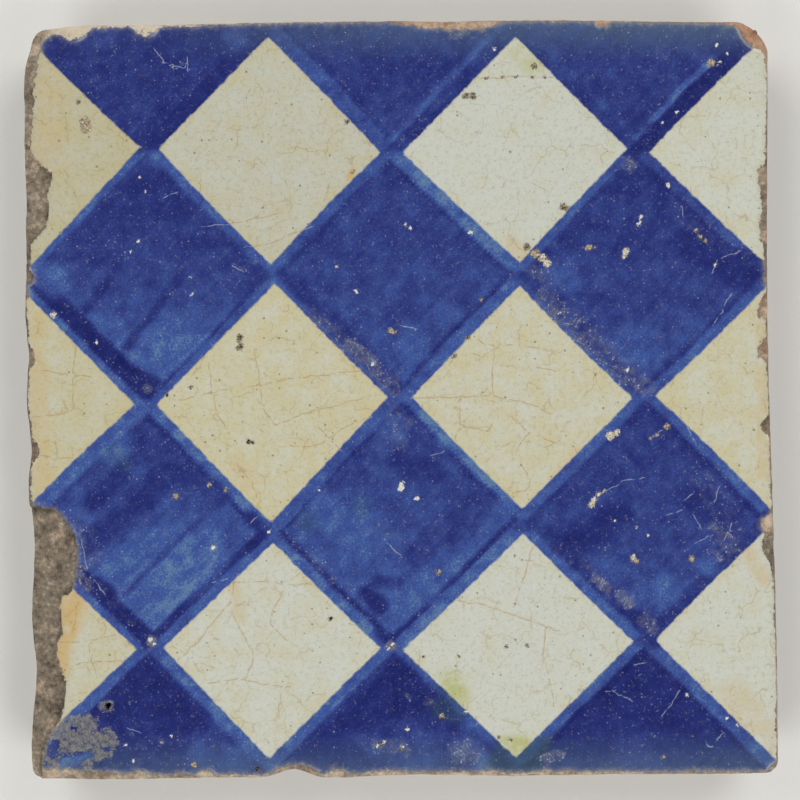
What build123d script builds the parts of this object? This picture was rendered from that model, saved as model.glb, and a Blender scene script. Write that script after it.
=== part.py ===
"""Old hand-made tin-glazed wall tile: one fired slab, lying with its painted face up.

Millimetres, +Z up. The origin is the middle of the back, which is the plain face that beds in mortar.
Going round the tile, each edge runs anticlockwise as seen from above: the bottom edge to +X, the right
edge to +Y, the top edge to -X and the left edge to -Y. A place on an edge is a share of its length.
"""
import os
from math import cos, hypot, radians, sin, sqrt

from build123d import *

# The slab
FACE_WIDTH = 129.5  # across the glazed face, along X
FACE_LENGTH = 131.0  # down the glazed face, along Y
THICKNESS = 14.0
KNIFE_BEVEL = 1.9  # the sides were cut undercut, so the back stands in this far from the face
ARRIS_RADIUS = 0.6  # edge of the face, softened by the melted glaze
ARRIS_FLATS = 3  # narrow flats that make up its curve

# How far each hand-cut edge stands in from the straight, as (share of the edge, inset)
EDGE_WANDER = {
    "bottom": [(0.0, 0.5), (0.12, 0.2), (0.28, 0.25), (0.325, 0.6), (0.354, 1.45), (0.382, 0.4),
               (0.42, 0.1), (0.54, 0.4), (0.62, 0.1), (0.75, 0.1), (0.93, 0.0), (1.0, 0.1)],
    "right": [(0.0, 0.05), (0.12, 0.0), (0.27, 0.2), (0.37, 0.45), (0.46, 0.75), (0.55, 0.95),
              (0.7, 0.95), (0.85, 0.65), (1.0, 0.45)],
    "top": [(0.0, 0.9), (0.18, 0.55), (0.3, 0.2), (0.45, 0.2), (0.555, 0.0), (0.7, 0.15),
            (0.85, 0.25), (0.94, 0.5), (1.0, 1.2)],
    "left": [(0.0, 2.4), (0.03, 1.5), (0.057, 0.5), (0.12, 0.3), (0.18, 0.1), (0.24, 0.3), (0.286, 0.1),
             (0.324, 0.3), (0.378, 0.0), (0.439, 0.5), (0.492, 0.1), (0.561, 0.75), (0.615, 0.25),
             (0.668, 0.9), (0.729, 0.75), (0.798, 0.45), (0.851, 1.1), (0.905, 0.55), (1.0, 0.4)],
}
# Radius of each worn corner, named by the edge that ends there
CORNER_RADII = {"bottom": 2.2, "right": 5.8, "top": 1.4, "left": 1.6}

# Shell-shaped flakes knocked off the rim: share of the edge, length along it, width on the face, depth
RIM_FLAKES = {
    "bottom": [(0.05, 9.0, 1.4, 0.6), (0.106, 5.0, 1.6, 0.7), (0.145, 5.0, 1.8, 0.8),
               (0.199, 5.4, 1.3, 0.7), (0.234, 5.0, 1.7, 0.8), (0.354, 8.2, 1.2, 1.0),
               (0.409, 5.2, 1.7, 0.8), (0.486, 3.6, 1.2, 0.6), (0.609, 5.4, 1.3, 0.6),
               (0.691, 5.6, 1.3, 0.6)],
    "right": [(0.302, 7.4, 2.2, 1.0), (0.458, 3.5, 1.6, 0.7), (0.56, 3.0, 1.7, 0.6), (0.614, 2.6, 1.6, 0.6)],
    "top": [(0.224, 3.4, 1.4, 0.5), (0.431, 16.8, 1.5, 0.8), (0.779, 9.5, 0.9, 0.5), (0.834, 4.6, 2.4, 0.6),
            (0.931, 5.6, 2.7, 0.7)],
    "left": [(0.334, 3.0, 1.5, 0.8), (0.44, 5.0, 1.5, 0.9), (0.563, 4.6, 1.8, 1.0)],
}
# The same at the worn corners, named by the edge that ends there: length across the corner, width, depth
CORNER_FLAKES = {"bottom": (4.0, 1.0, 0.7), "right": (10.0, 3.0, 1.4), "top": (6.0, 1.6, 0.8)}

# Sunken patches along the left edge where the glaze has come away: (share of the edge, width) round each
UPPER_SPALL = [(0.161, 1.1), (0.177, 1.8), (0.19, 3.6), (0.198, 5.0), (0.21, 4.7), (0.225, 4.05),
               (0.248, 4.4), (0.267, 3.8), (0.279, 2.4), (0.289, 1.1)]
LOWER_SPALL = [(0.637, 1.0), (0.642, 5.1), (0.676, 8.4), (0.7, 8.7), (0.735, 8.1), (0.75, 7.4),
               (0.756, 5.9), (0.769, 5.5), (0.804, 6.0), (0.817, 4.9), (0.837, 4.9), (0.866, 6.2),
               (0.882, 6.4), (0.916, 5.5), (0.938, 3.6), (0.96, 2.4), (1.0, 2.0)]
SPALL_STEP = 0.6  # depth at the broken edge of the glaze
SPALL_FALL = 0.09  # further drop for each millimetre out from there

# Holes of the nails that held the clay on its cutting board, as (in from the left or right, in from the
# bottom or top): one at the lower left corner, one at the upper right that the glaze has nearly filled
NAIL_HOLE_LOWER = (13.7, 12.9)
NAIL_HOLE_UPPER = (10.4, 8.0)
NAIL_HOLE_DIAMETER = 0.9
NAIL_HOLE_LOWER_DEPTH = 3.0
NAIL_HOLE_UPPER_DEPTH = 0.5

EDGE_PLANES = {
    "bottom": Plane(origin=(0, -FACE_LENGTH / 2, 0), x_dir=(1, 0, 0), z_dir=(0, 0, 1)),
    "right": Plane(origin=(FACE_WIDTH / 2, 0, 0), x_dir=(0, 1, 0), z_dir=(0, 0, 1)),
    "top": Plane(origin=(0, FACE_LENGTH / 2, 0), x_dir=(-1, 0, 0), z_dir=(0, 0, 1)),
    "left": Plane(origin=(-FACE_WIDTH / 2, 0, 0), x_dir=(0, -1, 0), z_dir=(0, 0, 1)),
}
EDGE_LENGTHS = {"bottom": FACE_WIDTH, "right": FACE_LENGTH, "top": FACE_WIDTH, "left": FACE_LENGTH}
EDGES = list(EDGE_PLANES)
NEXT_EDGE = dict(zip(EDGES, EDGES[1:] + EDGES[:1]))


def edge_point(edge, share, inset, height=0.0):
    """The point at a share of an edge's length, a distance in from the straight edge."""
    along = (share - 0.5) * EDGE_LENGTHS[edge]
    return EDGE_PLANES[edge].from_local_coords(Vector(along, inset, height))


def wander(edge, share):
    """How far the hand-cut edge stands in from the straight at a share of its length."""
    stations = EDGE_WANDER[edge]
    for (start, inset), (end, next_inset) in zip(stations, stations[1:]):
        if share <= end:
            return inset + (next_inset - inset) * (share - start) / (end - start)
    return stations[-1][1]


def corner_point(edge, inset, height=0.0):
    """The corner at the end of an edge, where it meets the next one, before the corner is worn round."""
    along = EDGE_LENGTHS[edge] / 2 - EDGE_WANDER[NEXT_EDGE[edge]][0][1] - inset
    return EDGE_PLANES[edge].from_local_coords(Vector(along, EDGE_WANDER[edge][-1][1] + inset, height))


def outline(inset, height):
    """The tile's plan outline at a height, drawn in by an inset all round, with its worn corners."""
    sides = []
    for last, edge in zip(EDGES[-1:] + EDGES[:-1], EDGES):
        stations = EDGE_WANDER[edge][1:-1]
        between = [edge_point(edge, share, depth + inset, height) for share, depth in stations]
        sides.append(Spline(corner_point(last, inset, height), *between, corner_point(edge, inset, height)))
    plan = make_face(sides)
    for edge, radius in CORNER_RADII.items():
        corner = plan.vertices().sort_by_distance(corner_point(edge, inset, height))[0]
        plan = fillet(corner, radius)
    return plan


def slab():
    """The slab before any damage: knife-bevelled sides and a face whose edge the glaze has softened."""
    sections = [outline(KNIFE_BEVEL, 0)]
    for step in range(ARRIS_FLATS + 1):
        turn = radians(90 * step / ARRIS_FLATS)
        height = THICKNESS - ARRIS_RADIUS * (1 - sin(turn))
        sections.append(outline(ARRIS_RADIUS * (1 - cos(turn)), height))
    return loft(sections, ruled=True)


def flake_ball(rim_point, outward, length, width, depth):
    """The ball that scoops a flake of this length, width on the face and depth from the rim."""
    ring_radius = (width**2 + (length / 2) ** 2) / (2 * width)
    above = ((length / 2) ** 2 - depth**2) / (2 * depth)
    centre = rim_point + outward * (ring_radius - width) + Vector(0, 0, THICKNESS + above)
    poles_along_rim = Plane(origin=centre, x_dir=(0, 0, 1), z_dir=outward.rotate(Axis.Z, 90))
    return poles_along_rim * Sphere(hypot(ring_radius, above))


def rim_flakes():
    """The scoops of every flake along the four edges and at the worn corners."""
    balls = []
    for edge, flakes in RIM_FLAKES.items():
        for share, length, width, depth in flakes:
            rim = edge_point(edge, share, wander(edge, share))
            balls.append(flake_ball(rim, EDGE_PLANES[edge].y_dir * -1, length, width, depth))
    for edge, flake in CORNER_FLAKES.items():
        outward = (EDGE_PLANES[edge].x_dir - EDGE_PLANES[edge].y_dir).normalized()
        rim = corner_point(edge, 0) - outward * CORNER_RADII[edge] * (sqrt(2) - 1)
        balls.append(flake_ball(rim, outward, *flake))
    return balls


def spall(stations):
    """The cutter of a sunken patch on the left edge, with a floor that falls towards the edge."""
    reach = max(width for share, width in stations)
    clear = 2 * KNIFE_BEVEL
    middle = EDGE_PLANES["left"].from_local_coords(Vector(0, reach, THICKNESS - SPALL_STEP))
    floor = Plane(origin=middle, x_dir=(0, -1, 0), z_dir=(-SPALL_FALL, 0, 1))
    points = [((share - 0.5) * FACE_LENGTH, width - reach) for share, width in stations]
    outside = -reach - clear
    past_end = points[-1][0] + clear
    ring = [(points[0][0], outside), *points, (past_end, points[-1][1]), (past_end, outside)]
    return extrude(floor * make_face(Polyline(*ring, close=True)), THICKNESS)


def nail_hole(x, y, depth):
    """A tapering nail hole in the face."""
    middle = Pos(x, y, THICKNESS - depth / 2)
    return middle * Cone(NAIL_HOLE_DIAMETER / 4, NAIL_HOLE_DIAMETER / 2, depth)


def tile():
    """The whole tile."""
    lower_x = NAIL_HOLE_LOWER[0] - FACE_WIDTH / 2
    lower_y = NAIL_HOLE_LOWER[1] - FACE_LENGTH / 2
    upper_x = FACE_WIDTH / 2 - NAIL_HOLE_UPPER[0]
    upper_y = FACE_LENGTH / 2 - NAIL_HOLE_UPPER[1]
    holes = [
        nail_hole(lower_x, lower_y, NAIL_HOLE_LOWER_DEPTH),
        nail_hole(upper_x, upper_y, NAIL_HOLE_UPPER_DEPTH),
    ]
    return slab() - [*rim_flakes(), spall(UPPER_SPALL), spall(LOWER_SPALL), *holes]


os.makedirs("parts", exist_ok=True)
export_step(tile(), "parts/tile.step")
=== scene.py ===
"""Old painted wall tile, dressed over its CAD solid: glaze, brushwork, wear, broken edges and studio light.

The file is laid out as a Blender add-on and is run as a script. Places on the tile are in millimetres from
the middle of its face, x to the right and y up, with the face seen from above. The outline, thickness, chips
and sunken patches come from the CAD solid. Blender's own units are metres.
"""
from math import radians

import bpy
import numpy as np
from bpy.props import FloatProperty, FloatVectorProperty, PointerProperty
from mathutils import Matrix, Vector, noise
from mathutils.bvhtree import BVHTree
from mathutils.kdtree import KDTree


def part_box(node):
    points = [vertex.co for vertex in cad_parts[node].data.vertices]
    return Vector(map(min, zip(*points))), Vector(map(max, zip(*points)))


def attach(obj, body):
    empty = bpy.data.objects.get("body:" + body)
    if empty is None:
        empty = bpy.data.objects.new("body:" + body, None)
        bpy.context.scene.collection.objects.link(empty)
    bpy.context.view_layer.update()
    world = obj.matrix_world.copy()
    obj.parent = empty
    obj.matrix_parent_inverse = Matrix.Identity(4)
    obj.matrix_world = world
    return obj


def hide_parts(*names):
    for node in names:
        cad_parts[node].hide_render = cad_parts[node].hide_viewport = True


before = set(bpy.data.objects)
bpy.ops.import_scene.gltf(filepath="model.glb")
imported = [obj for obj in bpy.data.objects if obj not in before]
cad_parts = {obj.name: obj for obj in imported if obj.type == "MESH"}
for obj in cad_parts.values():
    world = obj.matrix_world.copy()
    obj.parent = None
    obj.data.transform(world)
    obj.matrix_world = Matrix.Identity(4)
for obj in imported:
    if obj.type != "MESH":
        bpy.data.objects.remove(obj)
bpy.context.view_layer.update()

bl_info = {
    "name": "Painted wall tile",
    "version": (1, 0, 0),
    "blender": (4, 5, 0),
    "location": "View3D > Sidebar > Tile",
    "description": "Dresses an old chequered wall tile over its CAD solid",
    "category": "Add Mesh",
}

MM = 0.001
TILE_LOW, TILE_HIGH = (np.array(corner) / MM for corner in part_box("tile"))
THICKNESS = TILE_HIGH[2]
HALF_WIDTH = (TILE_HIGH[0] - TILE_LOW[0]) / 2
HALF_LENGTH = (TILE_HIGH[1] - TILE_LOW[1]) / 2

# The mesh: cells along each edge of the face, rows down the sides, and face cells to each cell of the back
FACE_CELLS = 272
SIDE_ROWS = 12
BACK_STEP = 4
RIM_CROWDING = 0.3  # how much closer the cells lie near the rim than in the middle
FOOT_SHARE = 0.985  # the back's own grid goes this far out towards the foot of the sides
EDGE_DROP = 0.3  # how far below the face points lie that are just past the solid
SHARP_ANGLE = 50.0  # in degrees; faces that meet at more than this keep a sharp edge

# Rays that find the solid: where the level and the upright ones start, and how far below the face the rim
# may have broken away. The gaps keep the highest and lowest rays off the face and the back. The brim is
# looked for at a number of heights, first widely and then closely about the best of them.
RAY_START = 200.0
RAY_START_HEIGHT = 100.0
BREAK_DEPTH = 5.0
FACE_GAP = 0.02
BACK_GAP = 0.03
BRIM_TRIES = 32
CLOSE_TRIES = 9
CLOSE_REACH = 0.16
FAR_OFF = 5.0  # distance that stands for places with no spot, crack or scratch near them

# Unevenness of the relief and of the brushwork, as layers of noise: height, size of the lumps, and which
# slice of the noise the layer takes
RIM_CHATTER = [(0.07, 1.1, 2.0), (0.09, 2.9, 4.0)]
KNIFE_DRAG = [(0.1, 1.5, 1.0)]
KNIFE_STRETCH = (0.3, 0.3, 1.6)  # draws the drag marks out along the sides
SIDE_GRIT = [(0.07, 1.2, 6.0)]
BACK_LUMPS = [(1.0, 9.0, 8.0), (0.4, 3.5, 9.0)]
BACK_DEPTH = 0.12  # depth of the deepest hollows in the back
BROKEN_CLAY = [(0.12, 0.9, 20.0), (0.12, 2.4, 21.0)]
GLAZE_WAVES = [(0.025, 7.0, 22.0)]
WEAR_CHATTER = [(1.0, 6.0, 12.0), (1.0, 1.8, 14.0)]
BRUSH_SWAY = [(0.4, 7.0, 3.0), (0.18, 2.2, 5.0)]
WASH_CLOUDS = [(0.16, 6.0, 30.0), (0.1, 2.8, 31.0)]

# Where the face, the back and the four sides lie in the texture: left, bottom, width and height
FACE_CHART = (0.005, 0.005, 0.8, 0.8)
BACK_CHART = (0.005, 0.815, 0.36, 0.18)
SIDE_CHARTS = [(left, bottom, 0.085, 0.485) for bottom in (0.005, 0.505) for left in (0.815, 0.91)]

# White diamonds of the chequer by (column, row) from the top left: left, top, right and bottom corners, then
# how far the sides left to top, top to right, right to bottom and bottom to left bow out
WHITE_DIAMONDS = {
    (1, 0): ((-41.3, 43.7), (-22.2, 62.8), (-3.0, 42.6), (-22.1, 23.5), (0.0, 0.15, -0.25, 0.2)),
    (2, 0): ((0.9, 42.6), (20.7, 62.4), (39.7, 42.9), (21.0, 23.4), (0.0, -0.15, -0.15, 0.1)),
    (1, 1): ((-42.1, -0.5), (-21.4, 20.2), (-2.2, 0.4), (-22.6, -21.1), (0.0, -0.15, 0.0, 0.1)),
    (2, 1): ((2.1, 0.3), (20.9, 19.3), (40.2, -0.3), (20.9, -19.2), (0.1, -0.25, -0.05, 0.15)),
    (1, 2): ((-41.4, -42.6), (-22.2, -24.6), (-3.9, -43.0), (-23.4, -61.9), (0.0, -0.15, 0.0, 0.0)),
    (2, 2): ((0.0, -43.4), (21.0, -23.5), (39.8, -42.4), (19.3, -62.2), (-0.1, -0.1, 0.0, 0.0)),
}
# Half diamonds that the left and right edges cut: the inner corner, a place on the upper side and one on the
# lower side, then how far the upper and lower sides bow out
WHITE_HALVES = {
    (0, 0): ((-44.5, 44.0), (-62.0, 61.2), (-62.5, 25.0), (-0.25, -0.05)),
    (0, 1): ((-45.9, -0.5), (-64.5, 18.8), (-64.0, -17.4), (0.0, -0.3)),
    (0, 2): ((-46.1, -42.8), (-56.4, -32.8), (-59.0, -54.8), (0.0, 0.0)),
    (3, 0): ((43.6, 42.2), (61.2, 59.5), (62.7, 23.5), (0.2, 0.15)),
    (3, 1): ((44.1, 0.1), (63.3, 18.5), (63.6, -19.4), (-0.2, -0.25)),
    (3, 2): ((43.7, -42.2), (60.8, -25.5), (63.8, -62.5), (0.2, 0.0)),
}
# Each white's warmth, from a cool grey white at 0 to cream at 1, and its share of painted shade, a grey that
# darkens the whites on the left and at the top where less light falls
WHITE_TONES = {
    (0, 0): (0.75, 0.22), (1, 0): (0.3, 0.16), (2, 0): (-0.1, 0.03), (3, 0): (0.12, 0.0),
    (0, 1): (0.76, 0.08), (1, 1): (0.7, 0.0), (2, 1): (0.52, 0.0), (3, 1): (0.58, 0.0),
    (0, 2): (0.5, 0.06), (1, 2): (0.16, 0.0), (2, 2): (-0.06, 0.0), (3, 2): (0.06, 0.0),
}

# Brushwork of each blue area by (column, row): its middle, the strength of the paint at its top and bottom,
# and for each side the width and strength of the outline stroke and of the line that the filling brush left
# inside it
BLUE_AREAS = {
    (0, 0): ((-42.6, 64.3), 1.5, 1.3, {
        "low_left": (3.0, 1.3, 0.0, 0.0), "low_right": (2.6, 1.5, 0.0, 0.0)}),
    (1, 0): ((-0.7, 63.8), 1.2, 1.3, {
        "low_left": (2.7, 0.9, 0.6, 1.4), "low_right": (2.5, 1.28, 1.2, 0.85)}),
    (2, 0): ((41.8, 63.3), 1.2, 1.25, {
        "low_left": (1.8, 1.25, 1.1, 1.1), "low_right": (2.9, 1.65, 1.2, 0.72)}),
    (0, 1): ((-43.4, 21.7), 1.45, 0.7, {
        "up_left": (1.3, 0.76, 1.3, 1.25), "up_right": (1.7, 0.76, 0.0, 0.0),
        "low_left": (1.4, 0.74, 3.0, 1.72), "low_right": (1.3, 0.85, 0.5, 1.4)}),
    (1, 1): ((-0.5, 21.4), 1.2, 0.95, {
        "up_left": (1.9, 0.85, 1.0, 1.25), "up_right": (2.4, 0.56, 0.5, 1.45),
        "low_left": (1.0, 0.84, 2.8, 1.25), "low_right": (2.2, 0.74, 0.7, 1.35)}),
    (2, 1): ((42.6, 21.3), 1.32, 1.0, {
        "up_left": (1.5, 0.85, 1.3, 1.3), "up_right": (1.9, 1.0, 0.6, 1.5),
        "low_left": (1.0, 0.82, 2.6, 1.2), "low_right": (1.7, 0.82, 0.9, 1.35)}),
    (0, 2): ((-43.8, -21.5), 1.25, 0.55, {
        "up_left": (2.6, 0.72, 1.2, 1.2), "up_right": (1.9, 0.65, 0.8, 1.5),
        "low_left": (1.3, 0.72, 2.8, 1.65), "low_right": (1.7, 0.78, 1.5, 1.6)}),
    (1, 2): ((-1.0, -21.6), 1.2, 0.68, {
        "up_left": (2.2, 0.82, 0.5, 1.4), "up_right": (1.6, 0.54, 0.8, 1.4),
        "low_left": (1.9, 0.62, 0.9, 1.5), "low_right": (2.2, 0.66, 0.9, 1.5)}),
    (2, 2): ((42.1, -21.4), 1.24, 0.98, {
        "up_left": (1.9, 0.78, 1.0, 1.25), "up_right": (1.8, 0.78, 0.9, 1.45),
        "low_left": (1.7, 0.72, 2.4, 1.3), "low_right": (2.4, 1.25, 0.0, 0.0)}),
    (0, 3): ((-43.6, -64.5), 1.7, 1.0, {
        "up_left": (2.0, 0.72, 1.8, 1.6), "up_right": (2.2, 0.72, 1.2, 1.45)}),
    (1, 3): ((-1.8, -65.0), 1.75, 0.85, {
        "up_left": (2.0, 0.7, 1.2, 1.35), "up_right": (1.2, 0.9, 0.5, 1.4)}),
    (2, 3): ((41.3, -64.9), 1.6, 1.2, {
        "up_left": (1.8, 0.8, 1.1, 1.75), "up_right": (2.3, 0.82, 0.9, 1.7)}),
}
# The white beside each side of a blue area, as a step of (columns, rows), and that white's own side
WHITE_BESIDE = {
    "up_left": (0, -1, "low_right"),
    "up_right": (1, -1, "low_left"),
    "low_left": (0, 0, "up_right"),
    "low_right": (1, 0, "up_left"),
}
# Single brush marks in the blue: from, to, width and strength
BRUSH_MARKS = [
    ((-54.3, 15.9), (-49.8, 21.2), 1.6, 1.4),
    ((-47.1, 9.6), (-37.3, 22.0), 1.5, 1.4),
    ((-29.0, 23.5), (-24.8, 21.6), 4.0, 1.3),
    ((-45.0, 4.5), (-42.6, 3.4), 2.2, 1.8),
    ((-53.9, -24.7), (-45.2, -17.0), 4.6, 1.45),
    ((-45.2, -17.0), (-39.8, -12.4), 4.4, 1.4),
    ((-53.0, -17.5), (-48.5, -12.5), 3.6, 1.5),
    ((-36.0, -12.5), (-31.5, -16.5), 4.0, 1.3),
    ((-26.0, -20.5), (-23.5, -22.5), 2.6, 1.5),
    ((-48.0, -33.4), (-39.8, -24.9), 1.3, 1.1),
    ((-39.8, -24.9), (-32.3, -18.2), 1.1, 1.1),
    ((0.0, -10.5), (5.6, -12.6), 4.6, 1.45),
    ((2.5, -27.0), (14.0, -18.0), 4.6, 1.28),
    ((-6.0, -33.2), (-3.9, -35.8), 3.2, 1.75),
    ((-3.9, -40.4), (-2.2, -41.6), 2.2, 1.6),
    ((-4.5, -31.5), (-1.0, -31.8), 2.6, 1.4),
    ((29.0, -25.0), (37.5, -20.5), 5.6, 1.6),
    ((50.5, -17.5), (56.0, -22.0), 5.0, 1.45),
    ((41.0, -38.5), (43.5, -40.0), 2.6, 1.5),
    ((50.0, 26.5), (60.0, 20.5), 5.0, 1.55),
    ((-52.6, -31.2), (-50.5, -33.0), 2.6, 1.7),
    ((55.5, 60.0), (59.0, 61.2), 2.4, 1.5),
    ((20.2, -22.2), (22.4, -21.9), 1.8, 1.3),
    ((19.4, 21.3), (22.0, 21.0), 1.9, 1.25),
    ((58.0, 24.5), (62.0, 23.5), 2.2, 1.5),
    ((60.5, 21.0), (62.5, 20.5), 2.2, 1.6),
    ((41.6, 46.0), (43.2, 46.8), 1.8, 1.4),
]
# Places where the wash is thinner: middle, radius and strength
THIN_WASHES = [
    ((-40.5, 9.5), 4.4, 0.5), ((-50.5, 13.8), 2.6, 0.72), ((-59.5, 20.8), 3.6, 0.66),
    ((1.8, 9.3), 3.0, 0.74), ((7.9, 14.9), 2.6, 0.8), ((41.0, 8.0), 4.4, 0.74),
    ((50.2, 11.4), 2.8, 0.8), ((28.5, 21.5), 3.4, 0.76), ((-50.0, -9.0), 2.4, 0.5),
    ((-37.0, -27.5), 7.0, 0.52), ((44.6, -33.6), 3.4, 0.62), ((-27.8, 62.7), 2.6, 0.78),
    ((-13.5, -18.5), 3.6, 0.66), ((-8.0, -21.5), 5.2, 0.72), ((4.2, -33.0), 3.6, 0.66),
    ((-1.0, -5.6), 2.8, 0.75), ((17.5, -19.0), 2.8, 0.66), ((35.5, -29.5), 2.4, 0.8),
    ((0.0, 50.0), 4.5, 1.05), ((-50.4, 63.0), 2.2, 0.92), ((12.2, -56.0), 2.4, 0.72),
    ((2.0, -61.5), 6.0, 0.86), ((10.8, -59.5), 3.0, 0.78), ((40.0, -63.0), 5.0, 1.0),
    ((-6.0, -59.5), 2.8, 0.86), ((-34.0, -61.5), 5.0, 0.86), ((-61.0, 22.3), 2.6, 0.7),
    ((-35.2, 10.4), 2.6, 0.5), ((-43.5, -29.5), 3.5, 0.5), ((-28.5, -62.3), 3.0, 0.75),
    ((52.6, -29.3), 2.0, 0.6), ((13.5, -57.6), 1.6, 0.65), ((13.6, -63.2), 2.2, 0.45),
    ((7.8, -8.0), 2.0, 0.45), ((-41.6, 41.4), 1.8, 0.6), ((-48.5, -7.9), 2.0, 0.5),
]
# How far the blue turns to teal: near the upper edge as (x, strength), near the lower edge, and how far from
# the middle of the tile it begins and is full
TEAL_ABOVE = [(-40.0, 0.1), (-26.0, 0.45), (-10.0, 0.6), (20.0, 0.7), (45.0, 0.95)]
TEAL_BELOW = 0.6
TEAL_REACH = (57.0, 65.0)

# The bare rim along each edge of the face, anticlockwise from the lower left corner, as (share of the edge,
# width worn bare, paleness of the clay there, redness)
RIM_WEAR = {
    "bottom": [
        (0.0, 1.8, 0.4, 0.1), (0.1, 1.4, 0.6, 0.1), (0.15, 0.8, 0.9, 0.1), (0.32, 0.6, 0.7, 0.3),
        (0.34, 0.1, 0.4, 0.2), (0.378, 0.1, 0.4, 0.2), (0.4, 0.75, 0.9, 0.2), (0.7, 0.75, 0.9, 0.3),
        (1.0, 0.4, 0.5, 0.3),
    ],
    "right": [
        (0.0, 0.35, 0.4, 0.2), (0.26, 0.4, 0.1, 0.1), (0.285, 1.2, -0.2, 0.0), (0.294, 2.1, -0.2, 0.0),
        (0.308, 2.1, -0.1, 0.0), (0.316, 1.4, 0.0, 0.0), (0.32, 2.2, 0.9, 0.3), (0.334, 2.3, 0.9, 0.3),
        (0.346, 0.4, 0.3, 0.2), (0.447, 0.35, 0.0, 0.2), (0.453, 1.7, 0.0, 0.1), (0.466, 1.6, 0.0, 0.1),
        (0.472, 0.35, 0.0, 0.2), (0.542, 0.4, 0.2, 0.3), (0.552, 2.1, 0.4, 0.4), (0.566, 1.9, 0.4, 0.4),
        (0.578, 0.4, 0.2, 0.3), (0.6, 0.5, 0.2, 0.3), (0.608, 1.9, 0.3, 0.4), (0.624, 1.7, 0.3, 0.4),
        (0.636, 0.4, 0.0, 0.2), (0.7, 0.8, -0.1, 0.15), (0.715, 1.5, 0.0, 0.1), (0.735, 1.4, 0.0, 0.1),
        (0.75, 0.8, -0.1, 0.1), (0.77, 1.3, 0.0, 0.1), (0.8, 1.8, -0.1, 0.1), (0.812, 0.4, 0.0, 0.1),
        (0.93, 0.3, 0.2, 0.3), (0.952, 0.6, 0.3, 0.8), (0.965, 1.2, 0.4, 1.0), (1.0, 1.5, 0.4, 1.0),
    ],
    "top": [
        (0.0, 1.5, 0.4, 1.0), (0.04, 1.2, 0.4, 1.0), (0.055, 0.4, 0.5, 0.6), (0.1, 0.2, 0.5, 0.3),
        (0.212, 0.2, 0.5, 0.3), (0.217, 0.8, 0.9, 0.9), (0.231, 0.8, 0.9, 0.9), (0.236, 0.2, 0.5, 0.3),
        (0.35, 0.25, 0.5, 0.4), (0.385, 1.5, 0.9, 0.5), (0.43, 1.5, 0.9, 0.5), (0.48, 0.9, 0.7, 0.7),
        (0.52, 0.2, 0.5, 0.3), (0.75, 0.3, 1.2, 0.1), (0.81, 0.4, 1.9, 0.0), (0.82, 0.9, 2.1, 0.0),
        (0.85, 0.9, 2.1, 0.0), (0.86, 0.4, 1.8, 0.0), (0.905, 0.5, 2.0, 0.0), (0.915, 1.6, 2.2, 0.0),
        (0.945, 1.6, 2.2, 0.1), (0.96, 1.1, 1.5, 0.1), (1.0, 1.9, 0.2, 0.1),
    ],
    "left": [
        (0.0, 1.9, 0.2, 0.1), (0.03, 1.9, 0.5, 0.05), (0.06, 2.2, 0.2, 0.05), (0.1, 1.6, 0.1, 0.0),
        (0.15, 1.3, 0.1, 0.0), (0.3, 0.8, 0.0, 0.0), (0.34, 0.4, -0.4, 0.1), (0.6, 0.45, -0.3, 0.1),
        (0.65, 0.6, -0.2, 0.0), (0.72, 0.7, 0.0, 0.0), (0.8, 0.9, -0.1, 0.0), (0.88, 1.0, -0.2, 0.0),
        (0.95, 1.0, 0.0, 0.0), (1.0, 1.2, 0.7, 0.0),
    ],
}

# Bareness of the sides at the brim, what each millimetre of the rim's wear adds to it, and that of the back;
# then the share of the rim's paleness and redness that the sides take
SIDE_BARE = 0.1
WEAR_BARE = 3
BACK_BARE = 10.0
SIDE_SHARE = 0.5

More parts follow.
